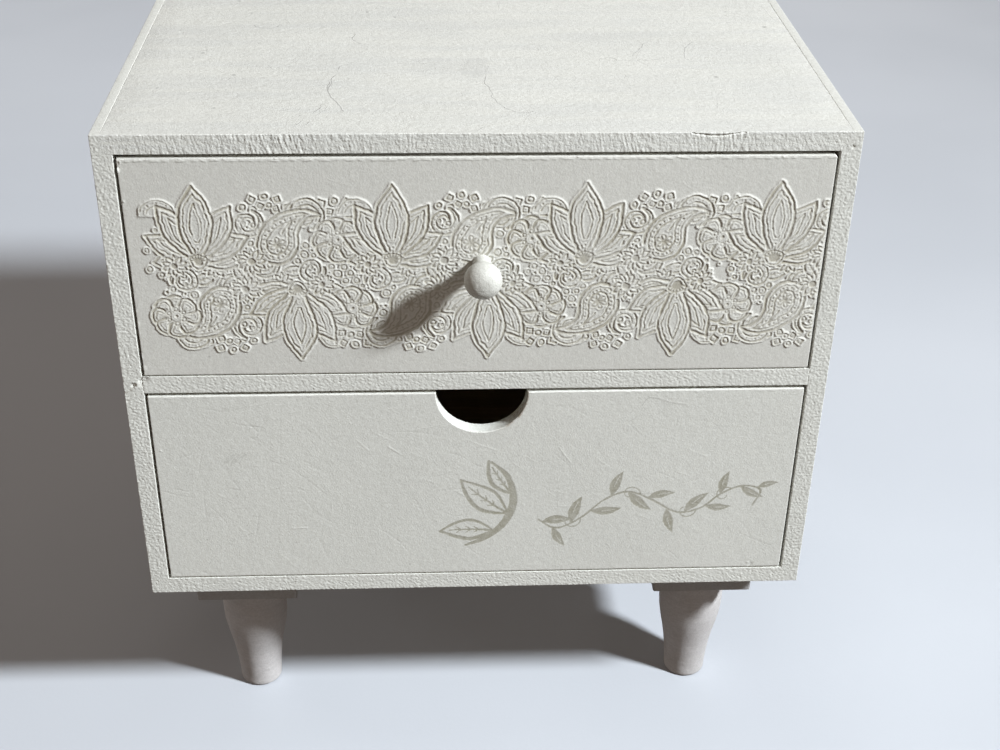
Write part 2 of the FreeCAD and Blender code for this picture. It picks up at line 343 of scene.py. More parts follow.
def spray(n=7, R=8.5, arc=120, size=1.0, kind=0):
    """Rows of little diamonds and rings round an edge."""
    P = Patch(-R - 4, R + 4, -R - 4, R + 4)
    for j in range(n):
        a = np.radians(90 - arc / 2 + arc * j / (n - 1))
        for row, rr in enumerate((R, R - 2.9 * size)):
            if row == 1 and j == n - 1:
                continue
            aa = a + (np.radians(arc / (n - 1) / 2) if row else 0)
            x, z = rr * np.cos(aa), rr * np.sin(aa)
            if (j + row + kind) % 2 == 0:
                h = 1.05 * size
                sq = np.array([[0, h], [h, 0], [0, -h], [-h, 0]])
                sq = turn(sq, np.degrees(aa) - 90 + 12 * ((j * 7 + row * 3) % 5 - 2)) + (x, z)
                P.shape(sq, [(-0.05, 0.58)], gap=0.2)
                P.ring(x, z, 0.20, 0.3, cover=False, fill=True)
            else:
                P.ring(x, z, 0.78 * size, 0.58)
    return P


def fan(R=8.0, n=7, arc=150):
    """Half-round shell of ribs with a beaded rim."""
    P = Patch(-R - 3, R + 3, -4, R + 4)
    for j in range(n):
        a = -arc / 2 + arc * j / (n - 1)
        out, mid = petal(R, R * 0.42, ROUND, 0, 16)
        out, mid = turn(out, -a), turn(mid, -a)
        P.shape(out, [(0.0, 0.6)], dome=0.05, gap=0.1)
        P.stroke(mid[int(len(mid) * 0.35):int(len(mid) * 0.8)], 0.36, 0.5)
    for j in range(n):
        a = np.radians(90 - arc / 2 + arc * j / (n - 1))
        P.ring((R + 1.1) * np.cos(a), (R + 1.1) * np.sin(a), 0.62, 0.45)
    P.ring(0, 0.4, 1.2, 0.4, fill=True)
    return P


def arcs(R=5.0):
    """Faint scallops that stand out past the edge."""
    P = Patch(-R - 2, R + 2, -R - 2, R + 2)
    t = np.radians(np.linspace(15, 165, 24))
    for f in (1.0, 0.62):
        P.stroke(np.stack([R * f * np.cos(t), R * f * np.sin(t)], 1), 0.36)
    for a in (50, 90, 130):
        P.ring(R * 0.8 * np.cos(np.radians(a)), R * 0.8 * np.sin(np.radians(a)), 0.3, 0.3, cover=False, fill=True)
    P.sil = np.minimum(P.sil, np.sqrt(P.X ** 2 + P.Z ** 2) - R - 0.2)
    P.sil = np.maximum(P.sil, -P.Z)
    return P


def rotated(P, deg, mirror=False):
    """The same motif turned, sampled on a new raster."""
    c = np.array([[P.i0, P.k0], [P.i1, P.k0], [P.i1, P.k1], [P.i0, P.k1]], float) * RES
    if mirror:
        c[:, 0] *= -1
    c = turn(c, deg)
    Q = Patch(c[:, 0].min(), c[:, 0].max(), c[:, 1].min(), c[:, 1].max())
    a = np.radians(-deg)
    x = Q.X * np.cos(a) - Q.Z * np.sin(a)
    z = Q.X * np.sin(a) + Q.Z * np.cos(a)
    if mirror:
        x = -x
    fx = np.clip(x / RES - P.i0, 0, P.X.shape[1] - 1.001)
    fz = np.clip(z / RES - P.k0, 0, P.X.shape[0] - 1.001)
    ix, iz = fx.astype(int), fz.astype(int)
    tx, tz = (fx - ix).astype(np.float32), (fz - iz).astype(np.float32)
    off = (x / RES < P.i0) | (x / RES > P.i1) | (z / RES < P.k0) | (z / RES > P.k1)
    for name, far in (("sil", 9.0), ("ink", 9.0), ("dome", 0.0)):
        A = getattr(P, name)
        v = (A[iz, ix] * (1 - tx) + A[iz, ix + 1] * tx) * (1 - tz) + (A[iz + 1, ix] * (1 - tx) + A[iz + 1, ix + 1] * tx) * tz
        setattr(Q, name, np.where(off, far, v).astype(np.float32))
    return Q


class Band:
    """The raster of a whole drawer front, in its own x and z in mm."""

    def __init__(self, x0, x1, z0, z1):
        self.x0, self.z0 = x0, z0
        self.nx = int(round((x1 - x0) / RES)) + 1
        self.nz = int(round((z1 - z0) / RES)) + 1
        self.x = x0 + np.arange(self.nx) * RES
        self.z = z0 + np.arange(self.nz) * RES
        self.ink = np.full((self.nz, self.nx), 9.0, np.float32)
        self.sil = np.full((self.nz, self.nx), 9.0, np.float32)
        self.dome = np.zeros((self.nz, self.nx), np.float32)
        self.cut = np.zeros((self.nz, self.nx), np.float32)     # fine scratches, mm
        self.dirt = np.zeros((self.nz, self.nx), np.float32)    # darker marks

    def put(self, P, cx, cz, gap=0.3):
        i = int(round((cx - self.x0) / RES)) + P.i0
        k = int(round((cz - self.z0) / RES)) + P.k0
        h, w = P.X.shape
        a0, a1 = max(i, 0), min(i + w, self.nx)
        c0, c1 = max(k, 0), min(k + h, self.nz)
        if a1 <= a0 or c1 <= c0:
            return
        win = (slice(c0, c1), slice(a0, a1))
        src = (slice(c0 - k, c1 - k), slice(a0 - i, a1 - i))
        sil, ink, dome = P.sil[src], P.ink[src], P.dome[src]
        self.ink[win] = np.minimum(np.maximum(self.ink[win], -(sil - gap)), ink)
        self.sil[win] = np.minimum(self.sil[win], sil)
        self.dome[win] = np.where(sil < 0, dome, self.dome[win])

    def window(self, x0, x1, z0, z1):
        a, b = max(0, int((x0 - self.x0) / RES)), min(self.nx, int((x1 - self.x0) / RES) + 2)
        c, d = max(0, int((z0 - self.z0) / RES)), min(self.nz, int((z1 - self.z0) / RES) + 2)
        if b <= a or d <= c:
            return None, None, None
        X, Z = np.meshgrid(self.x[a:b].astype(np.float32), self.z[c:d].astype(np.float32))
        return (slice(c, d), slice(a, b)), X, Z

    def fill(self, region, rmax=1.5, rmin=0.42, gap=0.42, count=900, seed=3, skip=0.3):
        """Packs rings and dots into what is left of the region."""
        rng = np.random.default_rng(seed)
        room = np.where(region, np.minimum(self.ink, self.sil + 0.25), -1.0).astype(np.float32)
        for _ in range(count):
            m = int(np.argmax(np.minimum(room, rmax + gap)))
            k, i = divmod(m, self.nx)
            free = float(room[k, i]) - gap
            r = min(free, rmax * (0.55 + 0.45 * rng.random()))
            if free < rmin:
                break
            cx, cz = self.x[i], self.z[k]
            win, X, Z = self.window(cx - 4, cx + 4, cz - 4, cz + 4)
            dist = np.sqrt((X - cx) ** 2 + (Z - cz) ** 2) - r
            if rng.random() < skip:
                room[win] = np.minimum(room[win], dist - 0.1)
                continue
            if r > 0.62:
                self.ink[win] = np.minimum(self.ink[win], np.abs(dist + 0.2) - 0.24)
            else:
                self.ink[win] = np.minimum(self.ink[win], dist + 0.12)
            self.sil[win] = np.minimum(self.sil[win], dist)
            room[win] = np.minimum(room[win], dist)

    def scratch(self, pts, width, depth, dirt=0.0):
        """A hairline along pts, cut in by depth, or raised where depth is negative."""
        pts = np.asarray(pts, float)
        win, X, Z = self.window(pts[:, 0].min() - 1, pts[:, 0].max() + 1, pts[:, 1].min() - 1, pts[:, 1].max() + 1)
        if win is None:
            return
        n = len(pts)
        taper = np.sin(np.pi * (np.arange(n) + 0.6) / (n + 0.2)) ** 0.5
        d = seg_dist(X, Z, pts, width / 2 * taper)
        m = 1 - smooth(-0.04, 0.14, d)
        self.cut[win] -= (depth * m).astype(np.float32)
        self.dirt[win] = np.maximum(self.dirt[win], (dirt * m).astype(np.float32))

    def speck(self, x, z, r, depth=0.0, dirt=0.8):
        win, X, Z = self.window(x - r - 1, x + r + 1, z - r - 1, z + r + 1)
        if win is None:
            return
        d = np.sqrt((X - x) ** 2 + ((Z - z) * 1.2) ** 2) - r
        m = 1 - smooth(-0.1, 0.12, d)
        self.cut[win] -= (depth * m).astype(np.float32)
        self.dirt[win] = np.maximum(self.dirt[win], (dirt * m).astype(np.float32))

    def at(self, name, x, z):
        A = getattr(self, name)
        fx = np.clip((x - self.x0) / RES, 0, self.nx - 1.001)
        fz = np.clip((z - self.z0) / RES, 0, self.nz - 1.001)
        ix, iz = fx.astype(int), fz.astype(int)
        tx, tz = fx - ix, fz - iz
        return (A[iz, ix] * (1 - tx) + A[iz, ix + 1] * tx) * (1 - tz) + (A[iz + 1, ix] * (1 - tx) + A[iz + 1, ix + 1] * tx) * tz


def random_hairlines(B, x0, x1, z0, z1, count, seed, depth=(0.02, 0.05), width=(0.10, 0.22), length=(1.5, 11.0), raised=0.5):
    rng = np.random.default_rng(seed)
    for _ in range(count):
        L = length[0] + (length[1] - length[0]) * rng.random() ** 2.2
        a = rng.choice([rng.normal(-35, 25), rng.normal(20, 35), rng.random() * 180])
        bend = rng.normal(0, 14)
        n = 7
        t = np.linspace(0, 1, n)
        ang = np.radians(a + bend * t)
        x = x0 + (x1 - x0) * rng.random() + np.cumsum(np.cos(ang)) * L / n
        z = z0 + (z1 - z0) * rng.random() + np.cumsum(np.sin(ang)) * L / n
        w = width[0] + (width[1] - width[0]) * rng.random()
        d = depth[0] + (depth[1] - depth[0]) * rng.random()
        up = rng.random() < raised
        B.scratch(np.stack([x, z], 1), w, -d if up else d, 0.0 if up else 0.20 * rng.random())


# ------------------------------------------------------------------ the embossed band of the upper drawer front
UF = (-103.2, 103.2, 138.8, 210.8)
LF = (-103.2, 103.2, 59.3, 131.3)
MID = 173.4


def lace_band():
    B = Band(*UF)
    up = {
        "pal": palmette(), "bo": rotated(boteh(1), 8), "ro": rosette(7.4), "da": daisy(4.3), "da2": daisy(3.5, 10),
        "sc": scroll(1, 5.0), "sc2": scroll(-1, 4.2), "sc3": rotated(scroll(1, 4.4), 130), "sc4": rotated(scroll(-1, 3.8), -60),
        "arc": arcs(), "le": rotated(leaf(), 40), "le2": rotated(leaf(), -65), "le3": rotated(leaf(8, 3.4, -16), 100),
        "sp": spray(7, 12.4, 104, 1.12), "sp2": spray(5, 8.0, 110, 1.0, 1), "fa": fan(6.4),
    }
    down = {k: rotated(v, 180) for k, v in up.items()}
    P = 57.0
    row = [
        ("sp", 40.5, 11.6, 0), ("sp2", 20.6, 17.6, 0), ("arc", -10.5, 19.5, 0), ("arc", 31.0, 19.5, 0),
        ("le", 14.5, -2.6, 1), ("le2", 47.0, 0.8, 1), ("le3", 31.0, 2.0, 1),
        ("sc", 32.0, 19.6, 2), ("sc2", 15.2, 17.2, 2), ("sc3", 9.5, -4.2, 1), ("sc4", 33.2, 1.6, 2),
        ("da2", 24.0, -2.6, 3),
        ("bo", 23.5, 3.6, 3), ("ro", 41.0, 11.4, 4), ("pal", 0.0, 4.0, 5),
        ("da", 15.4, 4.6, 6), ("da2", 49.8, 3.4, 6),
    ]
    todo = []
    for n in range(-1, 5):
        for name, u, v, o in row:
            todo.append((o, up[name], u + n * P - 83.0, v, 0))
            todo.append((o, down[name], -u + n * P - 83.0 + P * 0.5, -v, 1))
    todo.append((4, up["ro"], -91.2, -13.6, 2))
    todo.sort(key=lambda t: (t[0], t[2], t[4]))
    for o, m, u, v, s in todo:
        left = u + m.i0 * RES
        if left < -101.0 or left > UF[1] + 1:
            continue
        B.put(m, u, MID + v)
    X, Z = np.meshgrid(B.x, B.z)
    prof = 18.0 + 2.5 * np.cos(2 * np.pi * (X + 83) / P)
    prof2 = 18.0 + 2.5 * np.cos(2 * np.pi * (X + 83 - P * 0.5) / P)
    region = (Z - MID < prof) & (Z - MID > -prof2) & (X > -97.0 + 1.5 * np.cos(Z / 3.0)) & (B.sil > 0.35)
    B.fill(region, 1.45, 0.34, 0.46, 1500, 3, 0.34)
    random_hairlines(B, -102, 102, 140, 210, 70, 11)
    for x, z, r in ((-82.8, 145.5, 0.45), (62.0, 197.5, 0.22), (-20.0, 204.0, 0.2), (12.0, 143.5, 0.25), (88.0, 147.0, 0.2)):
        B.speck(x, z, r, 0.03, 0.5)
    return B


def lace_relief(B, x, z):
    """Height (mm, outwards) and tints at points of the upper drawer front."""
    wx = x + 0.34 * noise2(x / 6.0, z / 6.0, 41) + 0.17 * noise2(x / 1.5, z / 1.5, 43)
    wz = z + 0.34 * noise2(x / 6.0, z / 6.0, 42) + 0.17 * noise2(x / 1.5, z / 1.5, 44)
    d = B.at("ink", wx, wz) + 0.06 * noise2(x / 0.8, z / 0.8, 21) + 0.22 * smooth(0.35, 0.8, noise2(x / 4.0, z / 4.0, 31))
    sil, dome = B.at("sil", wx, wz), B.at("dome", wx, wz)
    dep = 0.72 + 0.28 * noise2(x / 9, z / 9, 5)
    h = -0.22 * smooth(0.0, 0.20, -d) * dep
    rim = np.exp(-((d - 0.25) / 0.17) ** 2) * (d > -0.2)
    h = h + 0.19 * rim * (0.75 + 0.3 * noise2(x / 1.3, z / 1.3, 77)) + dome
    # a thicker coat lies over the motifs and ends in a raised edge round them
    inside = smooth(0.35, -0.25, sil)
    h = h + 0.14 * smooth(0.9, -0.3, sil) + 0.14 * np.exp(-((sil - 0.05) / 0.26) ** 2)
    # wrinkled paint inside the motifs
    wrinkle = noise2(x / 0.62, z / 0.62, 73) + 0.6 * noise2(x / 0.38, z / 0.38, 74)
    h = h + 0.045 * wrinkle * inside * (0.65 + 0.5 * noise2(x / 6, z / 6, 75))
    ink = smooth(0.13, -0.13, d) * np.clip(0.88 + 0.42 * noise2(x / 13, z / 13, 3), 0.35, 1)
    # a thin wash of the darker tone that stayed in the hollows
    ink = np.maximum(ink, inside * (0.16 + 0.30 * smooth(-0.1, 0.6, noise2(x / 2.6, z / 2.6, 76))) * smooth(0.75, 0.2, d))
    return h, ink, rim


# ------------------------------------------------------------------ the stencilled spray of the lower drawer front
def pen(pts, wide, thin, angle=38.0, taper=0.12):
    """Widths of a broad-nib stroke along pts."""
    p = np.asarray(pts, float)
    d = np.gradient(p, axis=0)
    a = np.degrees(np.arctan2(d[:, 1], d[:, 0]))
    f = np.abs(np.sin(np.radians(a - angle))) ** 1.6
    w = thin + (wide - thin) * f
    n = len(p)
    ends = np.minimum(smooth(0, taper, np.arange(n) / n), smooth(0, taper, (n - 1 - np.arange(n)) / n))
    k = np.ones(5) / 5
    w = np.convolve(np.pad(w, 2, mode="edge"), k, mode="valid")
    return np.maximum(w * (0.45 + 0.55 * ends), thin * 0.8)


def stencil_front():
    B = Band(*LF)
    P = Patch(-22, 100, 66, 114)
    # sprig: a thick bent stem with big open leaves to its left
    stem = spline([(-4.4, 70.9), (1.6, 73.6), (7.4, 78.6), (10.8, 85.4), (11.3, 92.0), (9.2, 98.8), (4.3, 104.6)], 10)
    n = len(stem)
    P.stroke(stem, 0.45 + 2.2 * np.sin(np.pi * np.linspace(0.03, 0.97, n)) ** 0.9 + 0.25 * noise2(np.arange(n) / 5.0, np.zeros(n), 4))
    for bx, bz, ang, L, W, bend in ((4.6, 77.0, 84, 17.5, 7.8, -16), (9.4, 84.0, 54, 20.5, 8.4, 14), (10.6, 92.0, 34, 15.0, 6.2, 10)):
        out, mid = petal(L, W, LEAF, bend, 28)
        out, mid = turn(out, ang) + (bx, bz), turn(mid, ang) + (bx, bz)
        k = len(mid)
        w = 0.8 + 0.7 * np.sin(np.pi * np.linspace(0.0, 1.0, k))
        wob = 0.25 * noise2(np.arange(k) / 2.5, np.full(k, bz), 6)
        P.stroke(out[:k], w + wob)
        P.stroke(out[k:], 0.75 * w + wob[::-1])
        P.stroke(mid[1:int(k * .85)], 0.9, 0.4)
        for f in (0.26, 0.42, 0.58):
            m = mid[int(k * f)]
            d = mid[int(k * f) + 1] - m
            d = d / np.hypot(*d)
            for sgn in (1, -1):
                e = np.array([d[0] * .8 + sgn * d[1] * .6, d[1] * .8 - sgn * d[0] * .6])
                P.stroke(np.stack([m, m + e * W * 0.27]), 0.5, 0.3)
    # vine with narrow brushed leaves on both sides and a few tendrils
    vine = spline([(19.9, 81.0), (26.0, 77.5), (33.9, 81.5), (41.5, 88.8), (49.3, 91.9), (57.5, 88.4), (65.9, 83.3), (73.8, 84.8), (80.0, 90.4), (87.0, 93.6), (93.2, 91.8), (91.2, 85.7)], 10)
    n = len(vine)
    P.stroke(vine, 0.66 + 0.28 * noise2(np.arange(n) / 6.0, np.zeros(n), 9))
    d = np.gradient(vine, axis=0)
    head = np.degrees(np.arctan2(-d[:, 0], d[:, 1]))
    for f, side, L, W in ((0.02, 1, 9.0, 3.0), (0.08, -1, 8.0, 2.6), (0.15, 1, 10.5, 3.1), (0.22, -1, 9.5, 2.8), (0.30, 1, 9.5, 2.9), (0.37, -1, 10.0, 3.0), (0.44, 1, 8.5, 2.6),
                          (0.51, -1, 9.5, 2.9), (0.58, 1, 10.0, 2.9), (0.66, -1, 8.0, 2.5), (0.73, 1, 8.5, 2.6), (0.81, -1, 8.5, 2.5), (0.89, 1, 6.5, 2.1)):
        i = int(f * (n - 1))
        out, mid = petal(L * 1.12, W * 1.16, LEAF, 26 * side, 20)
        out, mid = turn(out, head[i] + side * 52) + vine[i], turn(mid, head[i] + side * 52) + vine[i]
        sd = poly_sd(P.X, P.Z, out) + 0.10 * noise2(P.X / 0.9, P.Z / 0.9, 12)
        split = seg_dist(P.X, P.Z, mid[int(len(mid) * 0.35):int(len(mid) * 0.8)])
        P.ink = np.minimum(P.ink, np.maximum(sd, 0.10 - split))
    for f, side in ((0.19, -1), (0.41, 1), (0.62, -1), (0.78, 1)):
        i = int(f * (n - 1))
        t = np.linspace(0, 1, 26)
        a = np.radians(head[i] + 90 + side * (20 + 300 * t))
        r = 3.4 * (1 - 0.72 * t)
        c = np.stack([r * np.cos(a), r * np.sin(a)], 1)
        P.stroke(c - c[0] + vine[i], 0.42, 0.3)
    a = int(round((P.i0 * RES - B.x0) / RES))
    c = int(round((P.k0 * RES - B.z0) / RES))
    h, wd = P.X.shape
    wd = min(wd, B.nx - a)
    B.ink[c:c + h, a:a + wd] = P.ink[:, :wd]
    # handling marks
    random_hairlines(B, -102, 102, 60, 130, 330, 5)
    random_hairlines(B, -102, 102, 60, 130, 60, 8, (0.03, 0.06), (0.14, 0.24), (6.0, 20.0), 0.4)
    B.scratch(spline([(-102.0, 73.4), (-94.0, 80.2), (-87.0, 86.4), (-80.6, 91.4)], 8), 0.26, 0.06, 0.16)
    B.scratch(spline([(-62.2, 128.0), (-63.6, 108.0), (-65.0, 88.0), (-67.0, 66.0)], 8), 0.22, 0.02, 0.10)
    B.scratch(spline([(52.0, 126.0), (54.0, 128.6), (57.4, 128.2), (61.0, 126.8), (66.4, 125.8)], 6), 0.22, -0.07, 0.45)
    B.scratch(spline([(-88.0, 127.0), (-80.0, 125.6), (-74.0, 126.8), (-69.0, 129.6)], 6), 0.2, 0.03, 0.3)
    B.scratch(spline([(-78.0, 121.4), (-73.6, 120.0), (-69.0, 119.4)], 6), 0.26, 0.05, 0.3)
    B.scratch([(-29.2, 111.4), (-27.0, 109.8), (-25.4, 108.6)], 0.34, -0.08)
    B.scratch([(26.0, 110.0), (27.6, 107.4), (29.8, 104.2)], 0.3, -0.07)
    B.scratch([(-61.4, 79.2), (-56.6, 79.4)], 0.34, -0.08)
    for j in range(7):
        B.scratch(spline([(-82.5 + 0.9 * j, 104.5 + 0.8 * (j % 3)), (-80.6 + 0.8 * j, 107.6), (-79.2 + 0.9 * j, 109.6 - 0.5 * (j % 2))], 4), 0.2, 0.03, 0.4)
    B.scratch(spline([(-81.0, 104.0), (-80.2, 100.4), (-78.0, 97.0), (-77.4, 94.0), (-80.6, 91.4)], 6), 0.18, 0.03, 0.3)
    for x, z, r, dp, dt in ((-101.1, 110.9, 0.42, -0.12, 0.0), (-89.8, 75.0, 0.34, 0.06, 0.7), (-66.0, 73.6, 0.3, 0.04, 0.5), (-60.5, 73.2, 0.3, 0.04, 0.45),
                            (-43.0, 90.0, 0.2, 0.02, 0.4), (66.6, 68.4, 0.22, 0.03, 0.4), (-23.0, 63.2, 0.26, 0.04, 0.5), (38.0, 113.0, 0.2, 0.02, 0.35)):
        B.speck(x, z, r, dp, dt)
    rng = np.random.default_rng(44)
    for _ in range(26):
        B.speck(-101 + 202 * rng.random(), 61 + 68 * rng.random(), 0.10 + 0.12 * rng.random(), 0.02, 0.25 + 0.3 * rng.random())
    return B


def stencil_relief(B, x, z):
    d = B.at("ink", x, z) + 0.07 * noise2(x / 0.7, z / 0.7, 61)
    ink = smooth(0.09, -0.09, d)
    edge = np.exp(-((d + 0.10) / 0.14) ** 2)
    h = -0.035 * ink + 0.02 * np.exp(-((d - 0.15) / 0.12) ** 2)
    return h, np.clip(ink * (0.94 + 0.16 * noise2(x / 2.2, z / 2.2, 8)) + 0.06 * edge, 0, 1), np.zeros_like(h)


# ------------------------------------------------------------------ solids of boxes on a lattice, with rounded arrises
def offsets(r):
    return (0.0, 0.423 * r, 0.732 * r, r)


def lattice_lines(boxes, axis, r, step, extra=()):
    """Planes of the boxes and of their roundings along one axis, and steps between them. step may be a function of place."""
    v = set()
    for lo, hi in boxes:
        for o in offsets(r):
            v.add(round(lo[axis] + o, 5))
            v.add(round(hi[axis] - o, 5))
    for e in extra:
        v.add(round(e, 5))
    v = sorted(v)
    keep = [v[0]]
    for x in v[1:]:
        if x - keep[-1] > 1e-4:
            keep.append(x)
    return subdivide(keep, step)


def subdivide(v, step):
    out = [v[0]]
    for a, b in zip(v[:-1], v[1:]):
        s = step((a + b) / 2) if callable(step) else step
        if callable(step) and b - a > 2 * s:
            # walk through places where the step changes
            x = a
            pts = []
            while b - x > 1.5 * step(x):
                x += step(x)
                pts.append(x)
            if pts:
                scale = (b - a) / (pts[-1] + step(pts[-1]) - a) if b - pts[-1] > 1e-6 else 1.0
                pts = [a + (p - a) * scale for p in pts]
            out += [round(p, 5) for p in pts if a < p < b - 1e-4] + [b]
            continue
        n = max(1, int(math.ceil((b - a) / s - 1e-9)))
        out += [round(a + (b - a) * i / n, 5) for i in range(1, n)] + [b]
    return out


def filled(boxes, holes, X, Y, Z):
    cx, cy, cz = [(np.asarray(a)[1:] + np.asarray(a)[:-1]) / 2 for a in (X, Y, Z)]

    def inside(lo, hi):
        return (((cx > lo[0]) & (cx < hi[0]))[:, None, None] & ((cy > lo[1]) & (cy < hi[1]))[None, :, None]
                & ((cz > lo[2]) & (cz < hi[2]))[None, None, :])
    occ = np.zeros((len(cx), len(cy), len(cz)), bool)
    for lo, hi in boxes:
        occ |= inside(lo, hi)
    for lo, hi in holes:
        occ &= ~inside(lo, hi)
    return occ


def faces_of(occ, mx, my, mz, shape, skip_last_y=False, skip_first_y=False):
    """Quads of a cell solid's skin as keys of lattice points."""
    NX, NY, NZ = shape

    def key(i, j, k):
        return (mx[i] * NY + my[j]) * NZ + mz[k]
    pad = np.zeros(tuple(n + 2 for n in occ.shape), bool)
    pad[1:-1, 1:-1, 1:-1] = occ
    c = pad[1:-1, 1:-1, 1:-1]
    out = []
    i, j, k = np.nonzero(c & ~pad[:-2, 1:-1, 1:-1])
    out.append(("-x", np.stack([key(i, j, k), key(i, j, k + 1), key(i, j + 1, k + 1), key(i, j + 1, k)], 1), j))
    i, j, k = np.nonzero(c & ~pad[2:, 1:-1, 1:-1])
    out.append(("+x", np.stack([key(i + 1, j, k), key(i + 1, j + 1, k), key(i + 1, j + 1, k + 1), key(i + 1, j, k + 1)], 1), j))
    i, j, k = np.nonzero(c & ~pad[1:-1, :-2, 1:-1])
    if skip_first_y:
        m = j > 0
        i, j, k = i[m], j[m], k[m]
    out.append(("-y", np.stack([key(i, j, k), key(i + 1, j, k), key(i + 1, j, k + 1), key(i, j, k + 1)], 1), j + 99))
    i, j, k = np.nonzero(c & ~pad[1:-1, 2:, 1:-1])
    if skip_last_y:
        m = j < occ.shape[1] - 1
        i, j, k = i[m], j[m], k[m]
    out.append(("+y", np.stack([key(i, j + 1, k), key(i, j + 1, k + 1), key(i + 1, j + 1, k + 1), key(i + 1, j + 1, k)], 1), j + 99))
    i, j, k = np.nonzero(c & ~pad[1:-1, 1:-1, :-2])
    out.append(("-z", np.stack([key(i, j, k), key(i, j + 1, k), key(i + 1, j + 1, k), key(i + 1, j, k)], 1), j))
    i, j, k = np.nonzero(c & ~pad[1:-1, 1:-1, 2:])
    out.append(("+z", np.stack([key(i, j, k + 1), key(i + 1, j, k + 1), key(i + 1, j + 1, k + 1), key(i, j + 1, k + 1)], 1), j))
    return out


def board_mesh(boxes, r=0.22, holes=(), steps=(8.0, 8.0, 8.0), fine=None, slab=1.0, extra=((), (), ()), radii=None, joints=()):
    """Points (mm), quads and larger faces of a union of boxes with rounded arrises. boxes must be the largest boxes that fit the shape.
    fine = (x step, z step) gives the first slab behind the front plane its own finer lattice; the two lattices share every point where they meet.
    joints = (axis, value, test) keeps a plane unrounded where test is true of the points, as at a filled joint.
    Also returns how far each point lies on a rounded arris, 0 to 1."""
    boxes = [(np.array(a, float), np.array(b, float)) for a, b in boxes]
    holes = [(np.array(a, float), np.array(b, float)) for a, b in holes]
    ex = [list(e) for e in extra]
    for lo, hi in holes:
        for a in range(3):
            ex[a] += [v for v in (lo[a], hi[a]) if min(b[0][a] for b in boxes) < v < max(b[1][a] for b in boxes)]
    front = min(b[0][1] for b in boxes)
    if fine:
        ex[1].append(front + slab)
    CX = lattice_lines(boxes, 0, r, steps[0], ex[0])
    CY = lattice_lines(boxes, 1, r, steps[1], ex[1])
    CZ = lattice_lines(boxes, 2, r, steps[2], ex[2])
    if fine:
        FX, FZ = subdivide(CX, fine[0]), subdivide(CZ, fine[1])
    else:
        FX, FZ = CX, CZ
    NX, NY, NZ = len(FX), len(CY), len(FZ)
    shape = (NX, NY, NZ)
    aFX, aCY, aFZ = np.array(FX), np.array(CY), np.array(FZ)
    mcx = np.searchsorted(aFX, np.array(CX) - 1e-6)
    mcz = np.searchsorted(aFZ, np.array(CZ) - 1e-6)
    quads, grown = [], []
    if fine:
        jt = int(np.argmin(np.abs(aCY - (front + slab))))
        occA = filled(boxes, holes, FX, CY[:jt + 1], FZ)
        for _, q, _ in faces_of(occA, np.arange(NX), np.arange(jt + 1), np.arange(NZ), shape, skip_last_y=True):
            quads.append(q)
        occB = filled(boxes, holes, CX, CY[jt:], CZ)
        for name, q, j in faces_of(occB, mcx, np.arange(jt, NY), mcz, shape, skip_first_y=True):
            touch = j == 0
            quads.append(q[~touch])
            for face in q[touch]:
                poly = []
                for a in range(4):
                    p, n = int(face[a]), int(face[(a + 1) % 4])
                    poly.append(p)
                    pi, pj, pk = p // (NY * NZ), (p // NZ) % NY, p % NZ
                    ni, nj, nk = n // (NY * NZ), (n // NZ) % NY, n % NZ
                    if pj == jt and nj == jt:
                        if pi != ni:
                            st = 1 if ni > pi else -1
                            poly += [(i * NY + jt) * NZ + pk for i in range(pi + st, ni, st)]
                        elif pk != nk:
                            st = 1 if nk > pk else -1
                            poly += [(pi * NY + jt) * NZ + k for k in range(pk + st, nk, st)]
                if len(poly) == 4:
                    quads.append(np.array([poly]))
                else:
                    grown.append(poly)
    else:
        occ = filled(boxes, holes, CX, CY, CZ)
        for _, q, _ in faces_of(occ, mcx, np.arange(NY), mcz, shape):
            quads.append(q)
    quads = np.vstack(quads)
    flat = np.concatenate([quads.ravel()] + [np.array(g) for g in grown])
    keys, inv = np.unique(flat, return_inverse=True)
    nq = quads.size
    quads = inv[:nq].reshape(-1, 4)
    polys, at = [], nq
    for g in grown:
        polys.append(inv[at:at + len(g)])
        at += len(g)
    P = np.stack([aFX[keys // (NY * NZ)], aCY[(keys // NZ) % NY], aFZ[keys % NZ]], 1)
    # rounding: each point keeps the radius from the boxes drawn in by it
    R = np.array(radii if radii is not None else (r, r, r), float)
    best = np.full(len(P), 1e9)
    Q = P.copy()
    for lo, hi in boxes:
        L, H = np.tile(lo + R, (len(P), 1)), np.tile(hi - R, (len(P), 1))
        for axis, val, test in joints:
            on = test(P)
            if abs(lo[axis] - val) < 1e-6:
                L[on, axis] = lo[axis]
            if abs(hi[axis] - val) < 1e-6:
                H[on, axis] = hi[axis]
        q = np.clip(P, L, H)
        d = np.sqrt((((P - q) / R) ** 2).sum(1))
        m = d < best
        best[m] = d[m]
        Q[m] = q[m]
    m = best > 1.0 + 1e-6
    P[m] = Q[m] + (P[m] - Q[m]) / best[m][:, None]
    arris = np.clip((best - 1.0) / 0.41, 0, 1)
    return P, quads, polys, arris


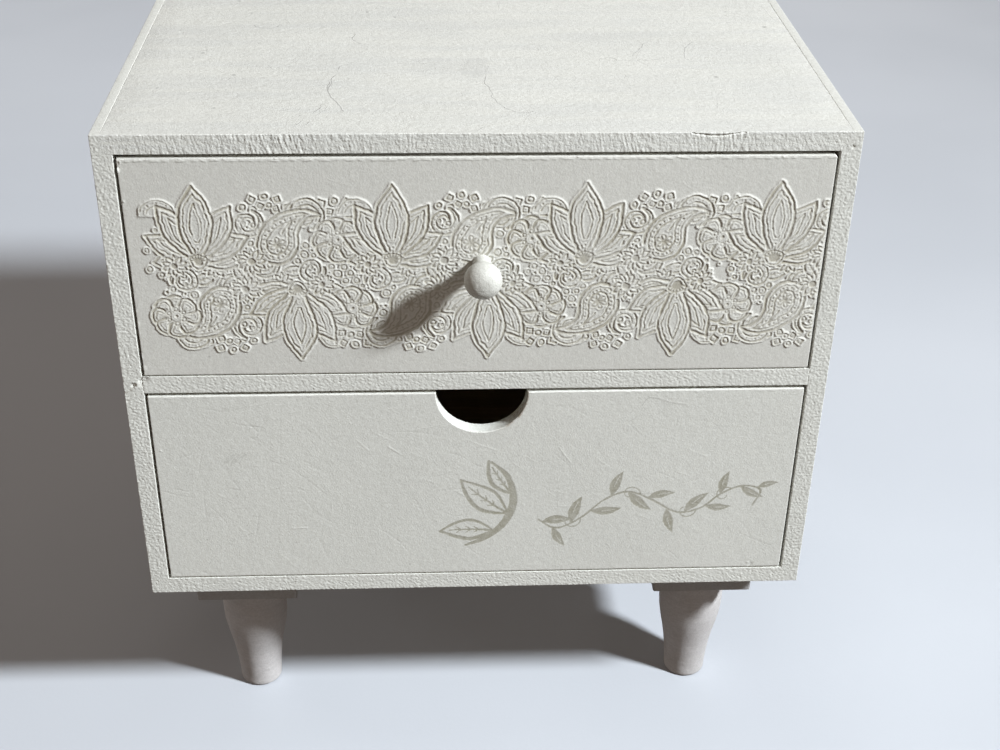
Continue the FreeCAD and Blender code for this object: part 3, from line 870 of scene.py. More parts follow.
def round_opening(P, cx, cz, a, A, radius=None, top=None):
    """Turns a square opening of half width a in the x-z plane into a round one, and eases back to nothing at half width A."""
    dx, dz = P[:, 0] - cx, P[:, 2] - cz
    rho = np.maximum(np.abs(dx), np.abs(dz))
    m = (rho < A) & (rho > 1e-6)
    if top is not None:
        m &= P[:, 2] < top + 1e-3
    x, z, rr = dx[m], dz[m], rho[m]
    side = np.abs(x) >= np.abs(z)
    phi = np.where(side, (np.pi / 4) * z / np.where(side, x, 1), 0.0)
    cxs = np.where(side, np.sign(x) * np.cos(phi), 0.0)
    czs = np.where(side, np.sign(x) * np.sin(phi), 0.0)
    psi = np.where(~side, (np.pi / 4) * x / np.where(~side, z, 1), 0.0)
    cxs = np.where(~side, np.sign(z) * np.sin(psi), cxs)
    czs = np.where(~side, np.sign(z) * np.cos(psi), czs)
    t = np.clip((rr - a) / (A - a), 0, 1)
    w = 1 - t * t * (3 - 2 * t)
    want = rr if radius is None else rr + (radius - a) * w
    P[m, 0] = cx + cxs * want * w + x * (1 - w)
    P[m, 2] = cz + czs * want * w + z * (1 - w)
    return P


def corner_round(P, x, z, sx, sz, rc):
    """Rounds an outer corner at x, z in the x-z plane. sx and sz point into the board."""
    cx, cz = x + sx * rc, z + sz * rc
    dx, dz = (P[:, 0] - cx) * -sx, (P[:, 2] - cz) * -sz
    m = (dx > 0) & (dz > 0)
    big = np.maximum(dx[m], dz[m])
    ln = np.hypot(dx[m], dz[m]) + 1e-9
    P[m, 0] = cx - sx * dx[m] / ln * big
    P[m, 2] = cz - sz * dz[m] / ln * big
    return P


def add_mesh(name, P, quads, polys=(), attrs=None, uv=None, smooth_all=True, raised=RAISE):
    me = bpy.data.meshes.new(name)
    nv = len(P)
    sizes = np.concatenate([np.full(len(quads), 4, np.int32), np.array([len(p) for p in polys], np.int32)])
    loops = np.concatenate([np.asarray(quads, np.int32).ravel()] + [np.asarray(p, np.int32) for p in polys]).astype(np.int32)
    me.vertices.add(nv)
    me.vertices.foreach_set("co", ((np.asarray(P, np.float64) + (0, 0, raised)) * MM).astype(np.float32).ravel())
    me.loops.add(len(loops))
    me.loops.foreach_set("vertex_index", loops)
    me.polygons.add(len(sizes))
    starts = np.concatenate([[0], np.cumsum(sizes)[:-1]]).astype(np.int32)
    me.polygons.foreach_set("loop_start", starts)
    me.polygons.foreach_set("loop_total", sizes)
    me.polygons.foreach_set("use_smooth", np.full(len(sizes), bool(smooth_all)))
    me.update(calc_edges=True)
    for key, val in (attrs or {}).items():
        at = me.attributes.new(key, "FLOAT", "POINT")
        at.data.foreach_set("value", np.asarray(val, np.float32))
    if uv is not None:
        layer = me.uv_layers.new(name="OFBake")
        layer.data.foreach_set("uv", np.asarray(uv, np.float32).ravel())
    me.validate(verbose=False)
    ob = bpy.data.objects.new(name, me)
    scene.collection.objects.link(ob)
    return ob


def loops_uv(P, quads, polys, box):
    """A map with the front on a wide strip and the other sides below it, laid side by side."""
    lo, hi = np.asarray(box[0], float), np.asarray(box[1], float)
    W, D, H = hi - lo
    faces = [np.asarray(quads)] + [np.asarray(p)[None] for p in polys]
    out = []
    s = 1.0 / W
    for F in faces:
        C = P[F]                                       # faces, corners, 3
        n = np.cross(C[:, 1] - C[:, 0], C[:, 2] - C[:, 0])
        n /= np.linalg.norm(n, axis=1, keepdims=True) + 1e-12
        ax = np.argmax(np.abs(n) * np.array([1.0, 1.35, 1.0]), axis=1)
        pos = np.take_along_axis(n, ax[:, None], 1)[:, 0] > 0
        x, y, z = [(C[..., i] - lo[i]) * s for i in range(3)]
        h, d = H * s, D * s
        u = np.empty_like(x)
        v = np.empty_like(x)
        for a, p, uu, vv in ((1, False, x, z), (1, True, x, z + h + .02), (2, True, x, y + 2 * h + .04), (2, False, x, y + 2 * h + d + .06),
                             (0, False, z, y + 2 * h + 2 * d + .08), (0, True, z + h + 0.05, y + 2 * h + 2 * d + .08)):
            m = (ax == a) & (pos == p)
            u[m], v[m] = uu[m], vv[m]
        out.append(np.stack([u, v], -1).reshape(-1, 2))
    return np.clip(np.vstack(out), 0, 1)


# ------------------------------------------------------------------ surface relief of the boards' front edges
def edge_relief(u, v, kind, seed):
    """Height in mm on a sawn and painted board edge: u along it, v across it."""
    if kind == "ridged":
        lean = 0.22 + 0.5 * noise2(u / 40.0, 0 * u, seed + 1)
        a = noise2((u + lean * v) / 0.54, v / 4.2, seed) + 0.6 * noise2((u - 0.3 * v) / 0.40, v / 2.2, seed + 2)
        zone = np.exp(-((u + 57.0) / 17.0) ** 2) + 0.35 * np.exp(-((u - 62.0) / 22.0) ** 2)
        amt = np.clip(0.42 + 0.75 * noise2(u / 16.0, v / 30.0, seed + 3) + 0.75 * zone, 0.22, 1.25)
        h = 0.150 * a * amt
    elif kind == "diagonal":
        a = noise2((u + 1.1 * v) / 0.70, (u - v) / 1.9, seed) + 0.6 * noise2((u + 0.6 * v) / 0.42, (u - v) / 1.0, seed + 2)
        amt = np.clip(0.75 + 0.6 * noise2(u / 11.0, v / 20.0, seed + 3), 0.30, 1.2)
        h = 0.092 * a * amt
    else:
        a = noise2(u / 0.85, v / 0.7, seed) + 0.6 * noise2(u / 0.45, v / 0.42, seed + 2)
        h = 0.085 * a
    h = h + 0.075 * fbm2(u / 0.8, v / 0.8, seed + 5, 2) + 0.03 * noise2(u / 7.0, v / 5.0, seed + 7)
    pits = smooth(0.55, 0.9, noise2(u / 0.8, v / 0.8, seed + 9))
    return h - 0.13 * pits


def chips(u, seed, density=0.55, depth=0.28):
    """Depth in mm that small nicks take off an arris, along it."""
    a = noise2(u / 1.1, 0 * u + 3.3, seed)
    b = noise2(u / 0.45, 0 * u + 7.7, seed + 1)
    return depth * smooth(density, density + 0.35, a) * (0.6 + 0.4 * b) + 0.03 * (0.5 + 0.5 * b)


def groove(x, z, p0, p1, width, depth, lip=0.0):
    d = seg_dist(x.astype(np.float32), z.astype(np.float32), np.array([p0, p1]))
    return -depth * (1 - smooth(width * 0.15, width * 0.55, d)) + lip * np.exp(-((d - width * 0.75) / (width * 0.25)) ** 2)


# ------------------------------------------------------------------ shader helpers
def nodes_of(mat):
    mat.use_nodes = True
    nt = mat.node_tree
    nt.nodes.clear()
    out = nt.nodes.new("ShaderNodeOutputMaterial")
    bsdf = nt.nodes.new("ShaderNodeBsdfPrincipled")
    nt.links.new(bsdf.outputs[0], out.inputs[0])
    return nt, bsdf


class G:
    """Short forms for building a node tree."""

    def __init__(self, nt):
        self.nt = nt
        self.co = nt.nodes.new("ShaderNodeTexCoord").outputs["Object"]
        self.mm = self.mapped(self.co, scale=(1000, 1000, 1000), loc=(0, 0, -RAISE))

    def link(self, a, b):
        if isinstance(a, (int, float)):
            b.default_value = a
        elif isinstance(a, (tuple, list)):
            b.default_value = (*a, 1.0) if len(a) == 3 and len(b.default_value) == 4 else a
        else:
            self.nt.links.new(a, b)

    def mapped(self, vec, scale=(1, 1, 1), rot=(0, 0, 0), loc=(0, 0, 0)):
        m = self.nt.nodes.new("ShaderNodeMapping")
        m.inputs["Scale"].default_value = scale
        m.inputs["Rotation"].default_value = [math.radians(a) for a in rot]
        m.inputs["Location"].default_value = loc
        self.nt.links.new(vec, m.inputs["Vector"])
        return m.outputs[0]

    def noise(self, vec, scale, detail=2.0, rough=0.5, distort=0.0):
        n = self.nt.nodes.new("ShaderNodeTexNoise")
        n.inputs["Scale"].default_value = scale
        n.inputs["Detail"].default_value = detail
        n.inputs["Roughness"].default_value = rough
        n.inputs["Distortion"].default_value = distort
        self.nt.links.new(vec, n.inputs["Vector"])
        return n.outputs["Fac"]

    def voronoi(self, vec, scale, feature="F1", out="Distance", rand=1.0):
        n = self.nt.nodes.new("ShaderNodeTexVoronoi")
        n.feature = feature
        n.inputs["Scale"].default_value = scale
        n.inputs["Randomness"].default_value = rand
        self.nt.links.new(vec, n.inputs["Vector"])
        return n.outputs[out]

    def math(self, op, a, b=0.0, c=0.0, clamp=False):
        n = self.nt.nodes.new("ShaderNodeMath")
        n.operation = op
        n.use_clamp = clamp
        self.link(a, n.inputs[0])
        self.link(b, n.inputs[1])
        if op in ("MULTIPLY_ADD",):
            self.link(c, n.inputs[2])
        return n.outputs[0]

    def ramp(self, v, a, b, lo=0.0, hi=1.0, soft=True):
        n = self.nt.nodes.new("ShaderNodeMapRange")
        n.interpolation_type = "SMOOTHSTEP" if soft else "LINEAR"
        self.link(v, n.inputs["Value"])
        n.inputs["From Min"].default_value = a
        n.inputs["From Max"].default_value = b
        n.inputs["To Min"].default_value = lo
        n.inputs["To Max"].default_value = hi
        return n.outputs["Result"]

    def mix(self, f, a, b, blend="MIX"):
        n = self.nt.nodes.new("ShaderNodeMix")
        n.data_type = "RGBA"
        n.blend_type = blend
        n.clamp_factor = True
        self.link(f, n.inputs[0])
        self.link(a, n.inputs[6])
        self.link(b, n.inputs[7])
        return n.outputs[2]

    def attr(self, name):
        n = self.nt.nodes.new("ShaderNodeAttribute")
        n.attribute_name = name
        return n.outputs["Fac"]

    def xyz(self, vec):
        n = self.nt.nodes.new("ShaderNodeSeparateXYZ")
        self.nt.links.new(vec, n.inputs[0])
        return n.outputs[0], n.outputs[1], n.outputs[2]

    def normal(self):
        n = self.nt.nodes.new("ShaderNodeNewGeometry")
        return self.xyz(n.outputs["Normal"])

    def bump(self, height_mm, normal=None, strength=1.0):
        n = self.nt.nodes.new("ShaderNodeBump")
        n.inputs["Strength"].default_value = strength
        n.inputs["Distance"].default_value = 0.001
        self.nt.links.new(height_mm, n.inputs["Height"])
        if normal is not None:
            self.nt.links.new(normal, n.inputs["Normal"])
        return n.outputs[0]

    def total(self, *vals):
        s = vals[0]
        for v in vals[1:]:
            s = self.math("ADD", s, v)
        return s

    def hairline(self, vec, angle_axis, angle, scale, stretch, width, mask_scale, mask_at, loc=(0, 0, 0)):
        """Thin curved lines where a stretched noise crosses its middle, broken up by a second noise."""
        rot = [0, 0, 0]
        rot[angle_axis] = angle
        v = self.mapped(vec, rot=rot, loc=loc)
        sc = [1.0, 1.0, 1.0]
        sc[(angle_axis + 1) % 3] = 1.0 / stretch
        v = self.mapped(v, scale=sc)
        n = self.noise(v, scale, 0.0, 0.5, 0.25)
        d = self.math("ABSOLUTE", self.math("SUBTRACT", n, 0.5))
        line = self.ramp(d, 0.0, width, 1.0, 0.0)
        m = self.ramp(self.noise(self.mapped(vec, loc=(loc[0] + 31, loc[1] + 17, loc[2] + 5)), mask_scale, 1.0), mask_at, mask_at + 0.04)
        return self.math("MULTIPLY", line, m)


IVORY = (0.775, 0.778, 0.735)


def paint(name, plane=2, streak=None, grain=1.0, attrs=False, marks=1.0, extra=None, base=IVORY, rough=0.62, ink=None, coarse=1.0):
    """Matte ivory paint on wood. plane is the axis that the main face looks along; streak the axis of brush marks."""
    mat = bpy.data.materials.new(name)
    nt, bsdf = nodes_of(mat)
    g = G(nt)
    mm = g.mm
    # colour: slow drift, brush streaks, thin places that show the board warm through the paint, faint smudges
    drift = g.noise(mm, 0.022, 3.0, 0.55)
    col = g.mix(g.ramp(drift, 0.35, 0.68), tuple(c * 0.965 for c in base), tuple(min(1, c * 1.02) for c in base))
    smudge = g.ramp(g.noise(g.mapped(mm, loc=(40, 12, 7)), 0.045, 4.0, 0.62, 0.6), 0.60, 0.80)
    col = g.mix(g.math("MULTIPLY", smudge, 0.10 * marks), col, (0.60, 0.61, 0.60))
    warm = g.ramp(g.noise(g.mapped(mm, loc=(3, 80, 21)), 0.03, 5.0, 0.6), 0.58, 0.78)
    col = g.mix(g.math("MULTIPLY", warm, 0.10), col, (0.80, 0.74, 0.64))
    mottle = g.noise(mm, 0.55, 3.0, 0.6)
    col = g.mix(0.5, col, g.mix(g.ramp(mottle, 0.3, 0.7), tuple(c * 0.965 for c in base), tuple(min(1, c * 1.03) for c in base)))
    grit = g.noise(g.mapped(mm, loc=(13, 5, 77)), 1.15 * coarse, 3.0, 0.68)
    col = g.mix(g.ramp(grit, 0.30, 0.70), col, (0.872, 0.868, 0.860), "MULTIPLY")
    col = g.mix(1.0, col, (1.062, 1.062, 1.062), "MULTIPLY")
    heights = []
    if streak is not None:
        sc = [1.0, 1.0, 1.0]
        sc[streak] = 0.035
        st = g.noise(g.mapped(mm, scale=tuple(sc)), 0.85, 4.0, 0.6, 0.15)
        col = g.mix(g.ramp(st, 0.42, 0.72, 0.0, 0.28), col, tuple(c * 0.90 for c in base))
        heights.append(g.math("MULTIPLY", st, 0.030))
    # hairlines in two of the surface's directions, and a few raised fibres under the paint
    l1 = g.hairline(mm, plane, 24, 0.075, 7.0, 0.0022, 0.11, 0.60, (7, 3, 11))
    l2 = g.hairline(mm, plane, -48, 0.085, 6.0, 0.0020, 0.13, 0.62, (27, 43, 1))
    l3 = g.hairline(mm, plane, 80, 0.030, 1.6, 0.0016, 0.05, 0.60, (57, 3, 61))
    lines = g.math("MAXIMUM", l1, g.math("MAXIMUM", l2, l3))
    col = g.mix(g.math("MULTIPLY", lines, 0.30 * marks), col, (0.42, 0.41, 0.38))
    heights.append(g.math("MULTIPLY", l1, -0.035 * marks))
    heights.append(g.math("MULTIPLY", l2, 0.035 * marks))
    heights.append(g.math("MULTIPLY", l3, 0.030 * marks))
    # specks
    v = g.mapped(mm, loc=(5, 9, 2))
    cell = g.voronoi(v, 0.085, "F1", "Distance")
    pick = g.xyz(g.voronoi(v, 0.085, "F1", "Color"))[0]
    size = g.math("MULTIPLY", g.ramp(pick, 0.72, 1.0, 0.0, 1.0, False), 0.022)
    dot = g.ramp(g.math("SUBTRACT", cell, size), -0.004, 0.004, 1.0, 0.0)
    dot = g.math("MULTIPLY", dot, g.ramp(pick, 0.70, 0.74))
    col = g.mix(g.math("MULTIPLY", dot, 0.55 * marks), col, (0.25, 0.24, 0.22))
    # fine skin of the paint
    fine = g.noise(mm, 1.9 * coarse, 3.0, 0.6)
    heights.append(g.math("MULTIPLY", fine, 0.125 * grain))
    skin = g.noise(mm, 0.42 * coarse, 2.0, 0.5)
    heights.append(g.math("MULTIPLY", skin, 0.105 * grain))
    rgh = g.ramp(g.noise(mm, 0.12, 4.0, 0.6), 0.3, 0.7, rough - 0.07, rough + 0.08)
    if attrs:
        ar = g.attr("arris")
        worn = g.ramp(g.noise(mm, 0.16, 5.0, 0.7), 0.52, 0.66)
        # arrises get a lighter ivory that is partly paint built up on them and partly a painted highlight; some of them
        # then show worn brown paint
        col = g.mix(g.math("MULTIPLY", ar, 0.35), col, (0.90, 0.895, 0.85))
        col = g.mix(g.math("MULTIPLY", g.math("MULTIPLY", ar, worn), 0.22), col, (0.66, 0.58, 0.46))
    if ink:
        a = g.attr("ink")
        tone = g.ramp(g.noise(mm, 0.10, 4.0, 0.6), 0.35, 0.68)
        taupe = g.mix(tone, *ink)
        speck = g.ramp(g.noise(mm, 1.3, 3.0, 0.65), 0.38, 0.62, 0.80, 1.0)
        col = g.mix(g.math("MULTIPLY", a, speck), col, taupe)
        # raised rims round the motifs get a paler ivory that is partly paler paint on the rims and partly a painted
        # highlight
        col = g.mix(g.math("MULTIPLY", g.attr("rim"), 0.60), col, (0.87, 0.865, 0.82))
        dirt = g.attr("dirt")
        col = g.mix(g.math("MULTIPLY", dirt, 0.75), col, (0.33, 0.32, 0.29))
        rgh = g.math("ADD", rgh, g.math("MULTIPLY", a, 0.10))
    if extra:
        col = extra(g, col, heights)
    nt.links.new(col, bsdf.inputs["Base Color"])
    nt.links.new(rgh, bsdf.inputs["Roughness"])
    bsdf.inputs["Specular IOR Level"].default_value = 0.34
    nt.links.new(g.bump(g.total(*heights)), bsdf.inputs["Normal"])
    return mat


def top_extras(g, col, heights):
    """Lint hairs caught under the paint, a faint pale seam tint near the ends."""
    x, y, z = g.xyz(g.mm)
    total = None
    for cx, cy, r, w, ax, ay, lim in (
            (-4.4, -34.1, 40.4, 0.15, -0.975, -0.224, 0.947), (68.7, -28.5, 65.7, 0.12, -0.99, -0.14, 0.9712), (12.9, -50.3, 6.0, 0.14, -0.399, -0.917, 0.50),
            (81.2, -43.2, 125.8, 0.15, -0.992, 0.123, 0.9988), (-68.5, 25.8, 4.5, 0.16, -0.077, -0.997, 0.37), (-30.6, 11.8, 8.9, 0.14, -0.974, -0.226, 0.763),
            (187.7, -62.5, 147.0, 0.12, -0.898, 0.44, 0.9989), (42.6, -11.8, 2.5, 0.11, 0.015, 1.0, -0.2), (-125.1, -23.8, 83.2, 0.12, 0.91, -0.414, 0.9975),
            (-129.2, -27.2, 87.7, 0.11, 0.928, -0.373, 0.9978), (48.0, 22.0, 34.0, 0.09, 0.2, -0.97, 0.93), (84.0, -6.0, 16.0, 0.10, -0.97, 0.2, 0.80)):
        dx, dy = g.math("SUBTRACT", x, cx), g.math("SUBTRACT", y, cy)
        wob = g.math("MULTIPLY", g.math("SUBTRACT", g.noise(g.mm, 0.16, 1.0), 0.5), 3.0)
        rr = g.math("SQRT", g.math("ADD", g.math("MULTIPLY", dx, dx), g.math("MULTIPLY", dy, dy)))
        d = g.math("ABSOLUTE", g.math("SUBTRACT", g.math("ADD", rr, wob), r))
        line = g.ramp(d, w * 0.5, w * 1.5, 1.0, 0.0)
        along = g.math("ADD", g.math("MULTIPLY", dx, ax), g.math("MULTIPLY", dy, ay))
        part = g.ramp(g.math("DIVIDE", along, r), lim, lim + 0.25 * (1 - lim))
        m = g.math("MULTIPLY", line, part)
        total = m if total is None else g.math("MAXIMUM", total, m)
    col = g.mix(g.math("MULTIPLY", total, 0.50), col, (0.40, 0.40, 0.38))
    heights.append(g.math("MULTIPLY", total, 0.06))
    # dark specks
    dots = None
    for cx, cy, r in ((-86.6, -3.6, 0.45), (-74.6, -24.0, 0.5), (-75.6, -36.9, 0.3), (-96.4, -35.0, 0.35), (-77.4, -51.7, 0.4), (-80.9, 50.9, 0.45), (-75.1, 37.4, 0.35),
                      (-35.6, 38.4, 0.4), (-25.9, 32.8, 0.4), (99.7, 21.5, 0.6), (89.2, 38.0, 0.35), (74.8, -27.0, 0.5), (30.0, -36.0, 0.25), (-52.0, -58.0, 0.22)):
        dx, dy = g.math("SUBTRACT", x, cx), g.math("MULTIPLY", g.math("SUBTRACT", y, cy), 1.3)
        rr = g.math("SQRT", g.math("ADD", g.math("MULTIPLY", dx, dx), g.math("MULTIPLY", dy, dy)))
        m = g.ramp(rr, r * 0.9, r * 1.7, 1.0, 0.0)
        dots = m if dots is None else g.math("MAXIMUM", dots, m)
    col = g.mix(g.math("MULTIPLY", dots, 0.60), col, (0.24, 0.24, 0.23))
    # long brushed bands, a grey rub near the middle and small dimples
    band = g.noise(g.mapped(g.mm, scale=(0.016, 0.11, 1.0), loc=(3, 1, 0)), 1.0, 4.0, 0.62, 0.3)
    col = g.mix(g.ramp(band, 0.38, 0.66, 0.0, 1.0), col, (0.948, 0.952, 0.965), "MULTIPLY")
    for cx, cy, ax, ay, amt in ((0.0, -18.0, 5.5, 9.5, 0.20), (-13.0, -15.0, 10.0, 8.0, 0.10), (60.0, 10.0, 26.0, 8.0, 0.07), (-88.0, -52.0, 22.0, 16.0, -0.05)):
        dx, dy = g.math("DIVIDE", g.math("SUBTRACT", x, cx), ax), g.math("DIVIDE", g.math("SUBTRACT", y, cy), ay)
        rr = g.math("SQRT", g.math("ADD", g.math("MULTIPLY", dx, dx), g.math("MULTIPLY", dy, dy)))
        rr = g.math("ADD", rr, g.math("MULTIPLY", g.math("SUBTRACT", g.noise(g.mm, 0.22, 4.0, 0.65), 0.5), 1.6))
        m = g.ramp(rr, 0.70, 1.05, 1.0, 0.0)
        col = g.mix(g.math("MULTIPLY", m, abs(amt)), col, (0.45, 0.45, 0.44) if amt > 0 else (0.86, 0.82, 0.74))
    dim = g.noise(g.mapped(g.mm, scale=(0.55, 1.0, 1.0)), 0.85, 3.0, 0.6)
    heights.append(g.math("MULTIPLY", g.ramp(dim, 0.35, 0.65), 0.050))
    return col


def wood(name, grain_axis, base=(0.72, 0.56, 0.38), ply=None):
    """Bare sanded pale wood. ply = (axis, start, thickness) shows the layers on the edges."""
    mat = bpy.data.materials.new(name)
    nt, bsdf = nodes_of(mat)
    g = G(nt)
    sc = [1.0, 1.0, 1.0]
    sc[grain_axis] = 0.05
    v = g.mapped(g.mm, scale=tuple(sc))
    bands = g.noise(v, 0.11, 4.0, 0.55, 1.2)
    fibre = g.noise(v, 1.4, 4.0, 0.65)
    pores = g.noise(v, 4.0, 2.0, 0.6)
    col = g.mix(g.ramp(bands, 0.32, 0.70), tuple(c * 0.84 for c in base), tuple(min(1, c * 1.10) for c in base))
    col = g.mix(g.ramp(fibre, 0.36, 0.66, 0.0, 0.45), col, tuple(c * k for c, k in zip(base, (0.80, 0.74, 0.66))))
    col = g.mix(g.ramp(pores, 0.60, 0.74, 0.0, 0.35), col, (0.36, 0.25, 0.15))
    blot = g.noise(g.mm, 0.03, 3.0)
    col = g.mix(g.ramp(blot, 0.35, 0.7, 0.0, 0.22), col, (0.80, 0.68, 0.52))
    heights = [g.math("MULTIPLY", fibre, 0.03), g.math("MULTIPLY", pores, 0.02)]
    if ply:
        axis, start, thick = ply
        p = g.math("DIVIDE", g.math("SUBTRACT", g.xyz(g.mm)[axis], start), thick)
        p = g.math("ADD", p, g.math("MULTIPLY", g.math("SUBTRACT", g.noise(g.mm, 0.2, 2.0), 0.5), 0.05))
        core = g.math("MULTIPLY", g.ramp(p, 0.31, 0.34), g.ramp(p, 0.66, 0.69, 1.0, 0.0))
        nx, ny, nz = g.normal()
        face = (nx, ny, nz)[axis]
        edge = g.ramp(g.math("ABSOLUTE", face), 0.35, 0.65, 1.0, 0.0)
        m = g.math("MULTIPLY", core, edge)
        col = g.mix(g.math("MULTIPLY", m, 0.55), col, (0.42, 0.29, 0.17))
        heights.append(g.math("MULTIPLY", m, -0.05))
    nt.links.new(col, bsdf.inputs["Base Color"])
    nt.links.new(g.ramp(fibre, 0.3, 0.7, 0.58, 0.74), bsdf.inputs["Roughness"])
    bsdf.inputs["Specular IOR Level"].default_value = 0.3
    nt.links.new(g.bump(g.total(*heights)), bsdf.inputs["Normal"])
    return mat


def metal(name, base, rough, stain):
    mat = bpy.data.materials.new(name)
    nt, bsdf = nodes_of(mat)
    g = G(nt)
    n = g.noise(g.mm, 1.6, 4.0, 0.6)
    m = g.noise(g.mm, 0.7, 3.0, 0.6)
    col = g.mix(g.ramp(n, 0.35, 0.7), tuple(c * 0.8 for c in base), tuple(min(1, c * 1.12) for c in base))
    col = g.mix(g.ramp(m, 0.58, 0.75, 0.0, 0.5), col, stain)
    nt.links.new(col, bsdf.inputs["Base Color"])
    bsdf.inputs["Metallic"].default_value = 1.0
    nt.links.new(g.ramp(n, 0.3, 0.7, rough - 0.08, rough + 0.12), bsdf.inputs["Roughness"])
    nt.links.new(g.bump(g.math("MULTIPLY", n, 0.02)), bsdf.inputs["Normal"])
    return mat


# ------------------------------------------------------------------ camera, light, floor
def set_camera():
    cam = bpy.data.cameras.new("camera")
    cam.lens = 52.77
    cam.sensor_width = 36.0
    cam.sensor_fit = "HORIZONTAL"
    cam.clip_start, cam.clip_end = 0.01, 50
    ob = bpy.data.objects.new("camera", cam)
    fwd = np.array([0.0461, 0.8516, -0.5221])
    fwd /= np.linalg.norm(fwd)
    right = np.array([0.9989, -0.0458, 0.0135])
    right -= fwd * (right @ fwd)
    right /= np.linalg.norm(right)
    up = np.cross(right, fwd)
    m = Matrix.Identity(4)
    for i in range(3):
        m[i][0], m[i][1], m[i][2] = right[i], up[i], -fwd[i]
    m[0][3], m[1][3], m[2][3] = -0.0146, -0.4612, 0.3763 + RAISE * MM
    ob.matrix_world = m
    scene.collection.objects.link(ob)
    scene.camera = ob


def area(name, where, at, size, power, color=(1, 1, 1), shape="DISK", size_y=None):
    li = bpy.data.lights.new(name, "AREA")
    li.shape = shape
    li.size = size
    if size_y:
        li.size_y = size_y
    li.energy = power
    li.color = color
    ob = bpy.data.objects.new(name, li)
    w, a = np.array(where, float), np.array(at, float)
    z = (w - a) / np.linalg.norm(w - a)
    x = np.cross((0, 0, 1), z)
    x /= np.linalg.norm(x)
    y = np.cross(z, x)
    m = Matrix.Identity(4)
    for i in range(3):
        m[i][0], m[i][1], m[i][2], m[i][3] = x[i], y[i], z[i], w[i]
    ob.matrix_world = m
    scene.collection.objects.link(ob)
    return ob


def set_lights():
    at = np.array([0.0, -0.07, 0.13 + RAISE * MM])
    key = area("key_light", (0.719, -0.452, 0.767 + RAISE * MM), at, 0.125, 16.6, (0.915, 0.965, 1.0))
    # the lamp's light stays as strong all over the object
    key.data.use_nodes = True
    nt = key.data.node_tree
    fall = nt.nodes.new("ShaderNodeLightFalloff")
    fall.inputs["Strength"].default_value = 1.0
    nt.links.new(fall.outputs["Constant"], nt.nodes["Emission"].inputs["Strength"])
    # soft light on the left side and the back, and a little on the front
    area("side_fill", (-1.2, 0.75, 0.30), at, 0.7, 2.6, (1.0, 0.98, 0.95), "SQUARE")
    area("back_fill", (0.30, 1.6, 0.30), at, 0.7, 3.6, (1.0, 0.98, 0.95), "SQUARE")
    area("front_fill", (-0.25, -1.7, 0.10), at, 0.7, 0.5, (1.0, 0.93, 0.86), "SQUARE")
    world = bpy.data.worlds.new("studio")
    scene.world = world
    world.use_nodes = True
    bg = world.node_tree.nodes["Background"]
    bg.inputs[0].default_value = (1.0, 0.83, 0.70, 1)
    # less light from below, and a little less from straight above
    nt = world.node_tree
    co = nt.nodes.new("ShaderNodeTexCoord")
    sep = nt.nodes.new("ShaderNodeSeparateXYZ")
    nt.links.new(co.outputs["Generated"], sep.inputs[0])
    low = nt.nodes.new("ShaderNodeMapRange")
    low.interpolation_type = "SMOOTHSTEP"
    for key_name, val in (("From Min", -0.45), ("From Max", 0.20), ("To Min", 0.07), ("To Max", 0.235)):
        low.inputs[key_name].default_value = val
    nt.links.new(sep.outputs[2], low.inputs["Value"])
    high = nt.nodes.new("ShaderNodeMapRange")
    for key_name, val in (("From Min", 0.25), ("From Max", 1.0), ("To Min", 1.0), ("To Max", 0.65)):
        high.inputs[key_name].default_value = val
    nt.links.new(sep.outputs[2], high.inputs["Value"])
    mul = nt.nodes.new("ShaderNodeMath")
    mul.operation = "MULTIPLY"
    nt.links.new(low.outputs["Result"], mul.inputs[0])
    nt.links.new(high.outputs["Result"], mul.inputs[1])
    nt.links.new(mul.outputs[0], bg.inputs[1])
    scene.view_settings.view_transform = "Standard"
    scene.view_settings.look = "None"
    scene.view_settings.exposure = 0.0
    scene.view_settings.gamma = 1.0


def set_floor():
    n = 40
    x = np.linspace(-2.6e3, 2.6e3, n)
    X, Y = np.meshgrid(x, x, indexing="ij")
    P = np.stack([X.ravel(), Y.ravel(), np.zeros(n * n)], 1)
    i, j = np.meshgrid(np.arange(n - 1), np.arange(n - 1), indexing="ij")
    a = (i * n + j).ravel()
    quads = np.stack([a, a + n, a + n + 1, a + 1], 1)
    fl = add_mesh("floor", P, quads, raised=0.0)
    fl.visible_diffuse = False
    fl.visible_shadow = False
    mat = bpy.data.materials.new("floor_pale")
    nt, bsdf = nodes_of(mat)
    g = G(nt)
    c = g.noise(g.mm, 0.004, 3.0, 0.5)
    f = g.noise(g.mm, 0.8, 3.0, 0.6)
    col = g.mix(g.ramp(c, 0.3, 0.7), (0.52, 0.545, 0.59), (0.56, 0.585, 0.63))
    nt.links.new(col, bsdf.inputs["Base Color"])
    nt.links.new(g.ramp(f, 0.3, 0.7, 0.70, 0.82), bsdf.inputs["Roughness"])
    bsdf.inputs["Specular IOR Level"].default_value = 0.2
    nt.links.new(g.bump(g.math("MULTIPLY", f, 0.03)), bsdf.inputs["Normal"])
    fl.data.materials.append(mat)


set_camera()
set_lights()
set_floor()

